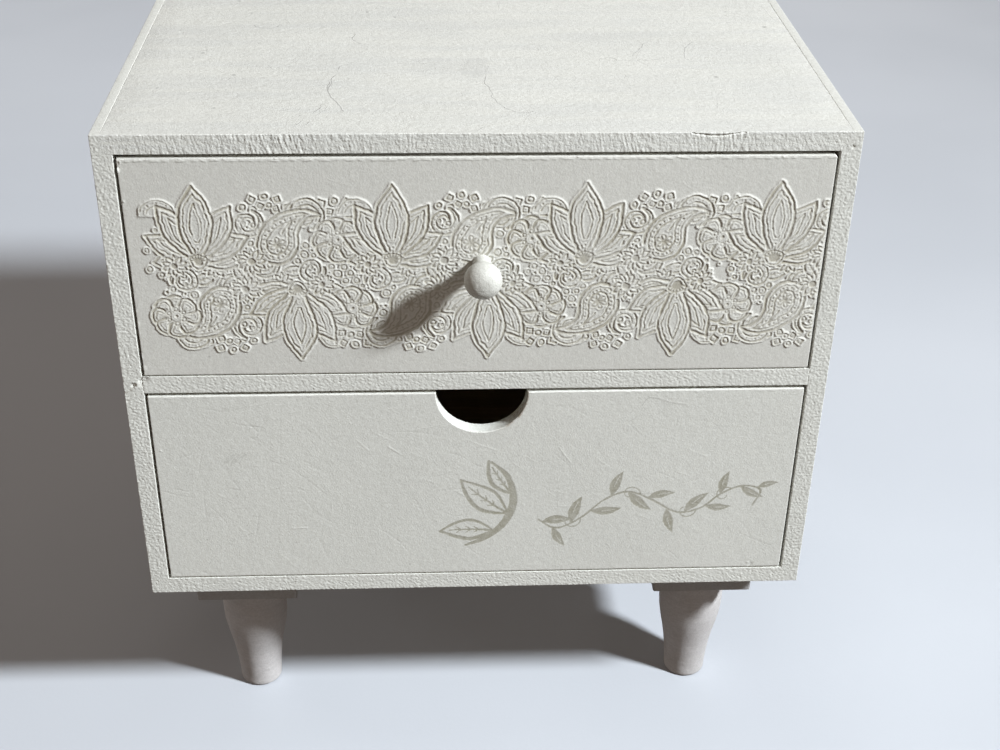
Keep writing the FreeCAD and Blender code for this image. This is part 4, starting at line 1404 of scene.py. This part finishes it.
# ------------------------------------------------------------------ materials
M_TOP = paint("paint_top", plane=2, streak=0, grain=1.15, attrs=True, marks=1.3, extra=top_extras, base=(0.785, 0.785, 0.740))
M_SIDE = paint("paint_side", plane=0, streak=2, grain=0.9, attrs=True, marks=0.8)
M_EDGE = paint("paint_board", plane=1, streak=None, grain=0.7, attrs=True, marks=0.25, rough=0.66)
M_FRONT = paint("paint_front", plane=1, streak=2, grain=0.6, attrs=True, marks=0.35, ink=((0.455, 0.425, 0.340), (0.515, 0.495, 0.430)), base=(0.738, 0.733, 0.690))
M_BACK = paint("paint_back", plane=1, streak=0, grain=1.1, attrs=True, marks=0.8, base=(0.74, 0.735, 0.68), rough=0.7)
M_TURN = paint("paint_turned", plane=2, streak=None, grain=0.55, attrs=False, marks=0.3, rough=0.55)
M_STEEL = metal("steel_wire", (0.56, 0.56, 0.55), 0.38, (0.34, 0.28, 0.22))
M_ZINC = metal("zinc_plate", (0.68, 0.69, 0.70), 0.32, (0.52, 0.50, 0.44))


def place(name, mesh, mat, body, node, attrs=None, uv=None):
    P, quads, polys, arris = mesh
    at = {"arris": arris}
    at.update(attrs or {})
    ob = add_mesh(name, P, quads, polys, at, uv)
    ob.data.materials.append(mat)
    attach(ob, body)
    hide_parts(node)
    return ob


# ------------------------------------------------------------------ carcass
def front_weight(y, slab=1.0):
    return 1 - smooth(YF + 0.10, YF + slab * 0.85, y)


def relieve(P, h, slab=1.0):
    """Moves the front plane's points outwards by h."""
    P[:, 1] -= h * front_weight(P[:, 1], slab)
    return P


def nick(P, arris, amount, toward):
    """Takes a depth off the points on an arris, inwards along toward."""
    m = arris > 0.2
    P[m] += np.outer(amount[m] * arris[m], toward)
    return P


def make_carcass():
    FX, FV = 0.25, 0.25
    # top: full width between the side boards' outer leaves
    boxes = [((-107, YF, 215), (107, YB, 218)), ((-107, YF, 212), (107, 85, 218))]
    near = lambda p: p[:, 1] < YF + 1.6
    P, q, pl, ar = board_mesh(boxes, 0.20, steps=(9, 9, 3), fine=(FX, FV), joints=((0, -107, near), (0, 107, near), (2, 212, lambda p: (np.abs(p[:, 0]) > 103.9) & near(p))))
    u, v = P[:, 0].copy(), P[:, 2] - 215
    front = P[:, 1] < YF + 1.0
    h = edge_relief(u, v, "ridged", 101) * smooth(0.0, 0.7, 107 - np.abs(u)) * np.where(np.abs(u) > 103.9, smooth(0.0, 0.6, P[:, 2] - 212), 1.0)
    h = h * (1 - 0.6 * np.clip(ar, 0, 1))
    # a lifted lip of paint just below the arris
    lip = seg_dist(u.astype(np.float32), v.astype(np.float32), spline([(60.4, 2.75), (63.0, 2.35), (66.0, 2.0), (70.0, 2.1), (73.2, 2.6), (75.6, 2.85)], 5))
    h = h - 0.42 * (1 - smooth(0.08, 0.30, lip)) + 0.05 * np.exp(-((lip - 0.5) / 0.18) ** 2) * (v > 2.0)
    P = relieve(P, h)
    up_edge = front & (P[:, 2] > 217.3)
    cut = chips(u, 301, 0.50, 0.34)
    long_nick = 0.20 * smooth(0, 3, u - 46) * smooth(0, 6, 74 - u) * (0.5 + 0.5 * noise2(u / 2.2, 0 * u, 7))
    P[up_edge, 2] -= (cut + np.clip(long_nick, 0, 1))[up_edge] * ar[up_edge]
    P[up_edge, 1] += 0.6 * (cut)[up_edge] * ar[up_edge]
    place("chest_top", (P, q, pl, ar), M_TOP, "carcass", "top_panel")
    # sides
    for s, node in ((-1, "left_side_panel"), (1, "right_side_panel")):
        def box(a, b, y0, y1, z0, z1):
            return ((min(s * a, s * b), y0, z0), (max(s * a, s * b), y1, z1))
        boxes = [box(107, 110, YF, YB, ZB, ZT), box(104, 110, YF, 85, 59, 212)]
        P, q, pl, ar = board_mesh(boxes, 0.20, steps=(3, 9, 9), fine=(FV, FX), joints=(
            (0, s * 107, lambda p: near(p) & ((p[:, 2] > 211.9) | (p[:, 2] < 59.1))),
            (2, 212, lambda p: near(p) & (p[:, 0] * s < 107.1)), (2, 59, lambda p: near(p) & (p[:, 0] * s < 107.1))))
        u, v = P[:, 2].copy(), (P[:, 0] - s * 107) * s
        h = edge_relief(v + 50, u, "peel", 111 + s)
        h = h * np.where((u > 212.1) | (u < 58.9), smooth(0.0, 0.7, v), 1.0) * np.where(v < 0.1, smooth(0.0, 0.6, 212 - u) * smooth(0.0, 0.6, u - 59), 1.0)
        if s < 0:
            x, z = P[:, 0].copy(), P[:, 2].copy()
            h = h + groove(x, z, (-110.6, 132.6), (-106.9, 135.6), 1.7, 0.42, 0.10) + groove(x, z, (-107.3, 135.2), (-103.6, 138.4), 1.2, 0.30, 0.06)
            h = h - 0.5 * (1 - smooth(0.4, 1.5, np.hypot(x + 104.1, (z - 136.6) * 0.75))) * (0.7 + 0.5 * noise2(x / 0.6, z / 0.6, 5))
        else:
            x, z = P[:, 0].copy(), P[:, 2].copy()
            h = h - 0.28 * (1 - smooth(0.3, 0.9, np.hypot(x - 107.3, z - 213.2)))
        P = relieve(P, h)
        edge = (P[:, 1] < YF + 0.8)
        inner = edge & (P[:, 0] * s < 104.6)
        outer = edge & (P[:, 0] * s > 109.5)
        P[inner, 0] += s * (chips(u, 303 + s, 0.60, 0.30) * ar)[inner]
        P[outer, 0] -= s * (chips(u, 313 + s, 0.72, 0.22) * ar)[outer]
        place("chest_side_%s" % ("left" if s < 0 else "right"), (P, q, pl, ar), M_SIDE, "carcass", node)
    # bottom
    holes = [((sx - 2.0, sy - 2.0, 52), (sx + 2.0, sy + 2.0, 60)) for sx in (-LEG_X, LEG_X) for sy in LEG_Y]
    boxes = [((-107, YF, 53), (107, YB, 56)), ((-107, YF, 53), (107, 85, 59))]
    P, q, pl, ar = board_mesh(boxes, 0.20, holes=holes, steps=(9, 9, 3), fine=(FX, FV),
                              extra=([s * LEG_X + o for s in (-1, 1) for o in (-7, -4.6, -3, 3, 4.6, 7)], [y + o for y in LEG_Y for o in (-7, -4.6, -3, 3, 4.6, 7)], (56.8,)),
                              joints=((0, -107, near), (0, 107, near), (2, 59, near)))
    for sx in (-LEG_X, LEG_X):
        for sy in LEG_Y:
            Q = P[:, [0, 2, 1]].copy()
            wide = np.where(P[:, 2] > 58.9, 3.9, np.where(P[:, 2] > 56.9, 2.9, 2.0))
            for val in (3.9, 2.9, 2.0):
                m = wide == val
                part = Q[m].copy()
                Q[m] = round_opening(part, sx, sy, 2.0, 7.0, val)
            P = Q[:, [0, 2, 1]]
    u, v = P[:, 0].copy(), P[:, 2] - 56
    P = relieve(P, edge_relief(u + 400, v, "diagonal", 131) * (1 - 0.6 * ar) * smooth(0.0, 0.7, 107 - np.abs(u)) * np.where(np.abs(u) > 103.9, smooth(0.0, 0.6, 59 - P[:, 2]), 1.0))
    place("chest_bottom", (P, q, pl, ar), M_EDGE, "carcass", "bottom_panel")
    # divider
    boxes = [((-104, YF, 132.5), (104, 85, 138.5))]
    P, q, pl, ar = board_mesh(boxes, 0.20, steps=(9, 9, 3), fine=(FX, FV), joints=((2, 138.5, near),))
    u, v = P[:, 0].copy(), P[:, 2] - 135.5
    h = edge_relief(u + 900, v, "diagonal", 141) * (1 - 0.6 * ar)
    h = h - 0.45 * (1 - smooth(0.5, 2.1, np.hypot((P[:, 0] + 104.0) * 0.8, P[:, 2] - 137.6))) * (0.75 + 0.5 * noise2(P[:, 0] / 0.5, P[:, 2] / 0.5, 15))
    P = relieve(P, h)
    edge = P[:, 1] < YF + 0.8
    top, low = edge & (v > 2.4), edge & (v < -2.4)
    P[top, 2] -= (chips(u, 307, 0.62, 0.22) * ar)[top]
    P[low, 2] += (chips(u, 309, 0.62, 0.18) * ar)[low]
    place("chest_divider", (P, q, pl, ar), M_EDGE, "carcass", "divider_shelf")
    # back board
    mesh = board_mesh([((-107, 85, 56), (107, 88, 215))], 0.25, steps=(9, 3, 9))
    place("chest_back", mesh, M_BACK, "carcass", "back_panel")


make_carcass()


# ------------------------------------------------------------------ drawer fronts
def front_boxes(z0, z1, notch=None):
    """Largest boxes of a drawer front: face plate, its rear block between the lap rebates, the groove for the bottom."""
    x1, xi = 103.2, 98.2
    gz = (z0 + 4.0, z0 + 7.0)
    spans = [((-x1, z0), (x1, z1))] if notch is None else [((-x1, z0), (notch[0] - notch[2], z1)), ((notch[0] + notch[2], z0), (x1, z1)), ((-x1, z0), (x1, notch[1] - notch[2]))]
    boxes = []
    for (a, c), (b, d) in spans:
        boxes.append(((a, YF, c), (b, -69.5, d)))
        ai, bi = max(a, -xi), min(b, xi)
        boxes.append(((ai, YF, c), (bi, -67, min(d, gz[0]))))
        if d > gz[1]:
            boxes.append(((ai, YF, gz[1]), (bi, -67, d)))
    return boxes


def ease_lower(P, z0, r=0.62, deep=0.55):
    """Rounds the lower front arris of a drawer front further."""
    t = np.clip((P[:, 2] - z0) / r, 0, 1)
    m = (P[:, 1] < YF + 1.0) & (t < 1)
    P[m, 1] += deep * (1 - np.sqrt(1 - (1 - t[m]) ** 2)) * front_weight(P[m, 1])
    return P


def make_upper_front():
    B = lace_band()
    z0, z1 = 138.8, 210.8
    hole = ((KNOB[0] - 1.6, -80, KNOB[1] - 1.6), (KNOB[0] + 1.6, -60, KNOB[1] + 1.6))
    P, q, pl, ar = board_mesh(front_boxes(z0, z1), 0.30, holes=[hole], steps=(8, 3, 8), fine=(0.25, 0.25),
                              extra=([KNOB[0] + o for o in (-4, -2.6, 2.6, 4)], [], [KNOB[1] + o for o in (-4, -2.6, 2.6, 4)]))
    P = round_opening(P, KNOB[0], KNOB[1], 1.6, 4.0)
    x, z = P[:, 0].copy(), P[:, 2].copy()
    h, ink, rim = lace_relief(B, x, z)
    inset = np.minimum(np.minimum(x - UF[0], UF[1] - x), np.minimum(z - z0, z1 - z))
    keep = smooth(0.25, 0.9, inset)
    h = h * keep + B.at("cut", x, z)
    h = h + 0.012 * fbm2(x / 1.1, z / 1.1, 71, 3) + 0.03 * noise2(x / 30, z / 22, 72)
    # paint drips and flakes along the left and top edges
    flake = smooth(0.35, 0.7, noise2(x / 0.9, z / 1.6, 81)) * (1 - smooth(0.2, 1.7, x - UF[0])) * smooth(186, 205, z)
    flake2 = smooth(0.40, 0.75, noise2(x / 1.8, z / 0.7, 83)) * (1 - smooth(0.2, 1.1, z1 - z)) * 0.7
    pool = smooth(0.1, 0.6, noise2(x / 1.3, z / 2.6, 85)) * (1 - smooth(0.2, 1.4, x - UF[0])) * (1 - smooth(150, 186, z))
    ridge = np.exp(-((z1 - z - 0.75 - 0.25 * noise2(x / 3.5, 0 * x, 181)) / 0.20) ** 2) * smooth(-0.35, 0.25, noise2(x / 2.4, 0 * x, 182))
    h = h + 0.40 * flake + 0.26 * flake2 + 0.14 * pool + 0.20 * ridge
    front = front_weight(P[:, 1])
    P = relieve(P, h)
    edge = P[:, 1] < YF + 0.8
    for m, axis, sgn, u, seed, amt in ((z > z1 - 0.6, 2, -1, x, 321, 0.46), (z < z0 + 0.6, 2, 1, x, 323, 0.16), (x < UF[0] + 0.6, 0, 1, z, 325, 0.32), (x > UF[1] - 0.6, 0, -1, z, 327, 0.14)):
        m = m & edge
        P[m, axis] += sgn * (chips(u, seed, 0.55, amt) * ar)[m]
    P = ease_lower(P, z0)
    P = corner_round(P, UF[1], z1, -1, -1, 0.9)
    P = corner_round(P, UF[1], z0, -1, 1, 0.7)
    P = corner_round(P, UF[0], z0, 1, 1, 0.4)
    at = {"ink": ink * keep * front, "rim": rim * keep * front, "dirt": B.at("dirt", x, z) * front + 0.35 * front * (flake + 0.6 * pool) * smooth(0.1, 0.5, noise2(x / 0.8, z / 1.2, 87))}
    place("upper_front", (P, q, pl, ar), M_FRONT, "upper_drawer", "upper_drawer_front", at,
          loops_uv(P, q, pl, ((UF[0], YF - .5, z0), (UF[1], -67, z1))))


def make_lower_front():
    B = stencil_front()
    z0, z1 = 59.3, 131.3
    cx, cz, R = NOTCH

    def sx(x):
        return 1.3 if abs(x - cx) < 27 else 8.0

    def sz(z):
        return 1.3 if z > cz - 27 else 8.0
    P, q, pl, ar = board_mesh(front_boxes(z0, z1, NOTCH), 0.30, steps=(sx, 3, sz), fine=(0.27, 0.27),
                              extra=([cx - 26, cx + 26], [], [cz - 26]))
    P = round_opening(P, cx, cz, R, 25.0)
    x, z = P[:, 0].copy(), P[:, 2].copy()
    h, ink, rim = stencil_relief(B, x, z)
    h = h + B.at("cut", x, z) + 0.010 * fbm2(x / 1.0, z / 1.0, 91, 3) + 0.035 * noise2(x / 34, z / 26, 92) + 0.012 * noise2(x / 5, z / 5, 93)
    ridge = np.exp(-((z1 - z - 0.6 - 0.2 * noise2(x / 3.0, 0 * x, 191)) / 0.18) ** 2) * smooth(0.0, 0.5, noise2(x / 2.0, 0 * x, 192)) * (np.abs(x - cx) > R + 1.5)
    h = h + 0.12 * ridge
    # dent and chip low on the right
    h = h - 0.16 * (1 - smooth(0.2, 1.2, np.hypot(x - 93.1, (z - 60.6) * 0.8))) + 0.12 * (1 - smooth(0.2, 0.8, np.hypot(x - 92.2, z - 61.4)))
    front = front_weight(P[:, 1])
    P = relieve(P, h)
    edge = P[:, 1] < YF + 0.8
    rn = np.hypot(x - cx, z - cz)
    for m, axis, sgn, u, seed, amt in (((z > z1 - 0.6) & (rn > R + 1), 2, -1, x, 331, 0.36), (z < z0 + 0.6, 2, 1, x, 333, 0.16), (x < UF[0] + 0.6, 0, 1, z, 335, 0.22), (x > UF[1] - 0.6, 0, -1, z, 337, 0.16)):
        m = m & edge
        P[m, axis] += sgn * (chips(u, seed, 0.60, amt) * ar)[m]
    P = ease_lower(P, z0)
    # the notch's wall: rough; its right side, which faces away from the lamp, gets a brown tone that is partly thin
    # paint and partly painted shade
    wall = (rn < R + 0.4) & (z < z1 - 0.1)
    ang = np.arctan2(z - cz, x - cx)
    rough = 0.05 * noise2(ang * R / 0.8, P[:, 1] / 0.8, 95) + 0.12 * smooth(0.3, 0.8, noise2(ang * R / 1.4, P[:, 1] / 1.1, 96)) * smooth(-1.25, -0.75, ang)
    k = (1 + rough / np.maximum(rn, 1))
    P[wall, 0] = cx + (P[wall, 0] - cx) * k[wall]
    P[wall, 2] = cz + (P[wall, 2] - cz) * k[wall]
    bare = np.where(rn < R + 0.9, smooth(-1.35, -0.7, ang) * (ang < 0.3) * smooth(-0.75, 0.15, noise2(ang * R / 2.4, P[:, 1] / 1.6, 97)) + 0.25 * smooth(0.2, 0.7, noise2(ang * R / 1.5, P[:, 1] / 1.5, 98)), 0.0)
    bare = bare * (1 - smooth(R + 0.2, R + 0.8, rn))
    at = {"ink": ink * front, "rim": rim, "dirt": B.at("dirt", x, z) * front, "bare": bare}
    place("lower_front", (P, q, pl, ar), M_FRONT2, "lower_drawer", "lower_drawer_front", at,
          loops_uv(P, q, pl, ((LF[0], YF - .5, z0), (LF[1], -67, z1))))


def notch_wear_and_shade_extra(g, col, heights):
    """Thin and rubbed paint in the notch; on its right wall, which faces away from the lamp, the brown is partly
    painted shade.
    """
    b = g.attr("bare")
    n = g.ramp(g.noise(g.mm, 1.1, 4.0, 0.65), 0.35, 0.60)
    col = g.mix(g.math("MULTIPLY", b, n), col, (0.43, 0.37, 0.29))
    return col


M_FRONT2 = paint("paint_front_lower", plane=1, streak=None, grain=0.7, attrs=True, marks=0.35, ink=((0.385, 0.368, 0.292), (0.425, 0.410, 0.345)), extra=notch_wear_and_shade_extra)
make_upper_front()
make_lower_front()


# ------------------------------------------------------------------ drawer boxes
def make_box(prefix, body, z0, side_top, back_top):
    gz0, gz1 = z0 + 4.0, z0 + 7.0
    for s, tag in ((-1, "left"), (1, "right")):
        lo, hi = sorted((s * 98.2, s * 103.2))
        gl, gh = sorted((s * 100.7, s * 103.2))
        boxes = [((gl, -69.5, z0), (gh, 84.5, side_top)), ((lo, -69.5, z0), (hi, 84.5, gz0)), ((lo, -69.5, gz1), (hi, 84.5, side_top))]
        mesh = board_mesh(boxes, 0.25, steps=(3, 8, 8))
        P = mesh[0]
        P[:, 0] += 0.02 * noise2(P[:, 1] / 12, P[:, 2] / 9, 401 + s) * (np.abs(P[:, 2] - (z0 + side_top) / 2) < 30)
        place("%s_box_%s" % (prefix, tag), mesh, wood("%s_wood_%s" % (prefix, tag), 1, ply=(0, lo, 5.0)), body, "%s_drawer_%s_side" % (prefix, tag))
    mesh = board_mesh([((-98.2, 79.5, gz1), (98.2, 84.5, back_top))], 0.25, steps=(8, 3, 8))
    place("%s_box_back" % prefix, mesh, wood("%s_wood_back" % prefix, 0, ply=(1, 79.5, 5.0)), body, "%s_drawer_back" % prefix)
    mesh = board_mesh([((-100.7, -69.5, gz0), (100.7, 84.5, gz1))], 0.15, steps=(8, 8, 3))
    place("%s_box_bottom" % prefix, mesh, wood("%s_wood_bottom" % prefix, 0, base=(0.74, 0.60, 0.43), ply=(2, gz0, 3.0)), body, "%s_drawer_bottom" % prefix)


make_box("upper", "upper_drawer", 138.8, 208.8, 208.8)
make_box("lower", "lower_drawer", 59.3, 129.3, 129.3)


# ------------------------------------------------------------------ turned pieces
def lathe(profile, n=96, steps=6, wobble=0.0, seed=1, rings=0.0):
    """Points (radius, height) turned about Z, closed at both ends. Returns points and faces."""
    prof = spline(profile, steps)
    prof[:, 0] = np.maximum(prof[:, 0], 0)
    keep = [0]
    for i in range(1, len(prof)):
        if np.hypot(*(prof[i] - prof[keep[-1]])) > 0.04:
            keep.append(i)
    prof = prof[keep]
    ends = [prof[0], prof[-1]]
    ring = [p for p in prof if p[0] > 0.02]
    ring = np.array(ring)
    a = np.linspace(0, 2 * np.pi, n, endpoint=False)
    m = len(ring)
    hs = ring[:, 1]
    rad = ring[:, 0][:, None] * np.ones(n)[None]
    if rings:
        rad = rad + rings * noise2(hs / 0.9, 0 * hs, seed)[:, None]
    if wobble:
        cu, cv = np.cos(a)[None] * 3, np.sin(a)[None] * 3
        w = noise2(cu / 1.3 + 5, hs[:, None] / 6 + cv / 1.3, seed + 3) + 0.5 * noise2(cu / 0.6, hs[:, None] / 2.5 + cv / 0.6, seed + 5)
        rad = rad + wobble * w * np.clip(rad / 3, 0, 1)
    P = np.stack([rad * np.cos(a), rad * np.sin(a), np.repeat(hs[:, None], n, 1)], -1).reshape(-1, 3)
    quads = []
    for i in range(m - 1):
        b = i * n + np.arange(n)
        c = i * n + (np.arange(n) + 1) % n
        quads.append(np.stack([b, c, c + n, b + n], 1))
    quads = np.vstack(quads)
    P = np.vstack([P, [[0, 0, ends[0][1]], [0, 0, ends[1][1]]]])
    lo, hi = m * n, m * n + 1
    polys = [[lo, (j + 1) % n, j] for j in range(n)] + [[hi, (m - 1) * n + j, (m - 1) * n + (j + 1) % n] for j in range(n)]
    return P, quads, polys


def up_is_out(P, quads, polys, down):
    """A profile that runs downwards comes out inside out, so its faces are turned."""
    if down:
        return P, quads[:, ::-1], [p[::-1] for p in polys]
    return P, quads, polys


LEG = [(10.6, 50.5), (11.1, 47.2), (11.45, 42.9), (11.65, 37.8), (11.55, 33.7), (11.25, 29.6), (10.6, 25.5), (9.7, 20.9), (8.9, 16.3), (8.3, 11.7), (7.9, 7.6), (7.65, 3.5), (7.55, 1.2), (7.25, 0.45), (6.5, 0)]
KNOB_PROFILE = [(2.8, 0), (2.6, 1.5), (2.55, 4.5), (2.65, 5.9), (3.15, 6.8), (4.05, 7.8), (4.98, 9.0), (5.48, 10.4), (5.6, 11.5), (5.45, 12.7), (4.95, 13.95), (4.0, 15.05), (2.7, 15.85), (1.2, 16.22), (0.0, 16.3)]


def turned_extra(g, col, heights):
    """Faint turning rings under the paint."""
    x, y, z = g.xyz(g.mm)
    n = g.noise(g.mapped(g.mm, scale=(0.05, 0.05, 1.0)), 1.5, 3.0, 0.65)
    heights.append(g.math("MULTIPLY", n, 0.16))
    return g.mix(g.ramp(n, 0.35, 0.65), col, (0.93, 0.93, 0.93), "MULTIPLY")


# the legs and their blocks get darker, greyer copies of the ivory paint, the blocks darkest: painted shade for parts
# that stand under the carcass
M_LEG_SHADED = paint("paint_leg_painted_shade", plane=2, streak=None, grain=0.8, attrs=False, marks=0.35, rough=0.58, extra=turned_extra, base=(0.625, 0.605, 0.605))
M_BLOCK_SHADED = paint("paint_block_painted_shade", plane=2, streak=None, grain=0.8, attrs=False, marks=0.35, rough=0.66, base=(0.47, 0.465, 0.465))
for fb, y in (("front", LEG_Y[0]), ("back", LEG_Y[1])):
    for lr, x in (("left", -LEG_X), ("right", LEG_X)):
        seed = 500 + int(x) + int(y)
        P, q, pl = lathe(LEG, 88, 5, 0.035, seed, 0.012)
        P[:, 2] = np.clip(P[:, 2], 0, 50.5)
        P, q, pl = up_is_out(P, q, pl, True)
        P = P + (x, y, -RAISE)
        ob = add_mesh("leg_%s_%s_turned" % (fb, lr), P, q, pl)
        ob.data.materials.append(M_LEG_SHADED)
        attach(ob, "carcass")
        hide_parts("leg_%s_%s" % (fb, lr))
        mesh = board_mesh([((x - 17.5, y - 17.5, LEG_TOP), (x + 17.5, y + 17.5, ZB))], 0.9, steps=(3, 3, 1.6), radii=(0.7, 0.7, 0.45))
        Pm = mesh[0]
        Pm += (0.03 * noise2(Pm[:, 1] / 5, Pm[:, 2] / 3, seed))[:, None] * np.array([1.0, 0.6, 0.0])
        Pm[:, 2] = np.minimum(Pm[:, 2], ZB)
        place("leg_%s_%s_block" % (fb, lr), mesh, M_BLOCK_SHADED, "carcass", "leg_plate_%s_%s" % (fb, lr))


def knob_extra(g, col, heights):
    """Mark that the lathe's centre left on the nose, and turning rings round the axis."""
    x, y, z = g.xyz(g.mm)
    dx, dz = g.math("SUBTRACT", x, KNOB[0]), g.math("SUBTRACT", z, KNOB[1])
    r = g.math("SQRT", g.math("ADD", g.math("MULTIPLY", dx, dx), g.math("MULTIPLY", dz, dz)))
    nose = g.ramp(y, YF - 14.5, YF - 12.5, 1.0, 0.0)
    ring = g.ramp(g.math("ABSOLUTE", g.math("SUBTRACT", r, 1.55)), 0.10, 0.40, 1.0, 0.0)
    m = g.math("MULTIPLY", ring, nose)
    heights.append(g.math("MULTIPLY", m, -0.02))
    heights.append(g.math("MULTIPLY", g.noise(g.mapped(g.mm, scale=(0.06, 1.0, 0.06)), 1.7, 3.0, 0.6), 0.035))
    col = g.mix(g.math("MULTIPLY", m, 0.10), col, (0.60, 0.57, 0.52))
    # painted shade: a brown tone low on the left of the ball, the side away from the lamp; and stipple over the whole
    # ball
    side = g.math("ADD", g.math("MULTIPLY", dx, -0.80), g.math("MULTIPLY", dz, -0.60))
    side = g.math("ADD", side, g.math("MULTIPLY", g.math("SUBTRACT", g.noise(g.mm, 0.5, 3.0, 0.6), 0.5), 2.4))
    shade_low_left = g.ramp(side, 3.0, 5.2)
    col = g.mix(g.math("MULTIPLY", shade_low_left, 0.28), col, (0.42, 0.33, 0.24))
    dots = g.ramp(g.noise(g.mm, 2.2, 2.0, 0.6), 0.42, 0.62)
    heights.append(g.math("MULTIPLY", dots, 0.045))
    return g.mix(g.math("MULTIPLY", dots, 0.5), col, (0.93, 0.925, 0.91), "MULTIPLY")


M_KNOB = paint("paint_knob", plane=1, streak=None, grain=0.6, attrs=False, marks=0.3, rough=0.52, extra=knob_extra, base=(0.700, 0.698, 0.655))
P, q, pl = lathe(KNOB_PROFILE, 112, 9, 0.022, 61, 0.006)
# turned about Z with the tip up: laid so that the tip looks out of the front
P = np.stack([P[:, 0] + KNOB[0], YF - P[:, 2], P[:, 1] + KNOB[1]], 1)
ob = add_mesh("knob_turned", P, q, pl)
ob.data.materials.append(M_KNOB)
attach(ob, "upper_drawer")
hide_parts("upper_drawer_knob")

# ------------------------------------------------------------------ fasteners keep their own shape
for node, mat in (("carcass_brads", M_STEEL), ("back_panel_pins", M_STEEL), ("upper_drawer_pins", M_STEEL), ("lower_drawer_pins", M_STEEL), ("leg_screws", M_ZINC), ("knob_screw", M_ZINC)):
    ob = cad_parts[node]
    ob.data.materials.clear()
    ob.data.materials.append(mat)
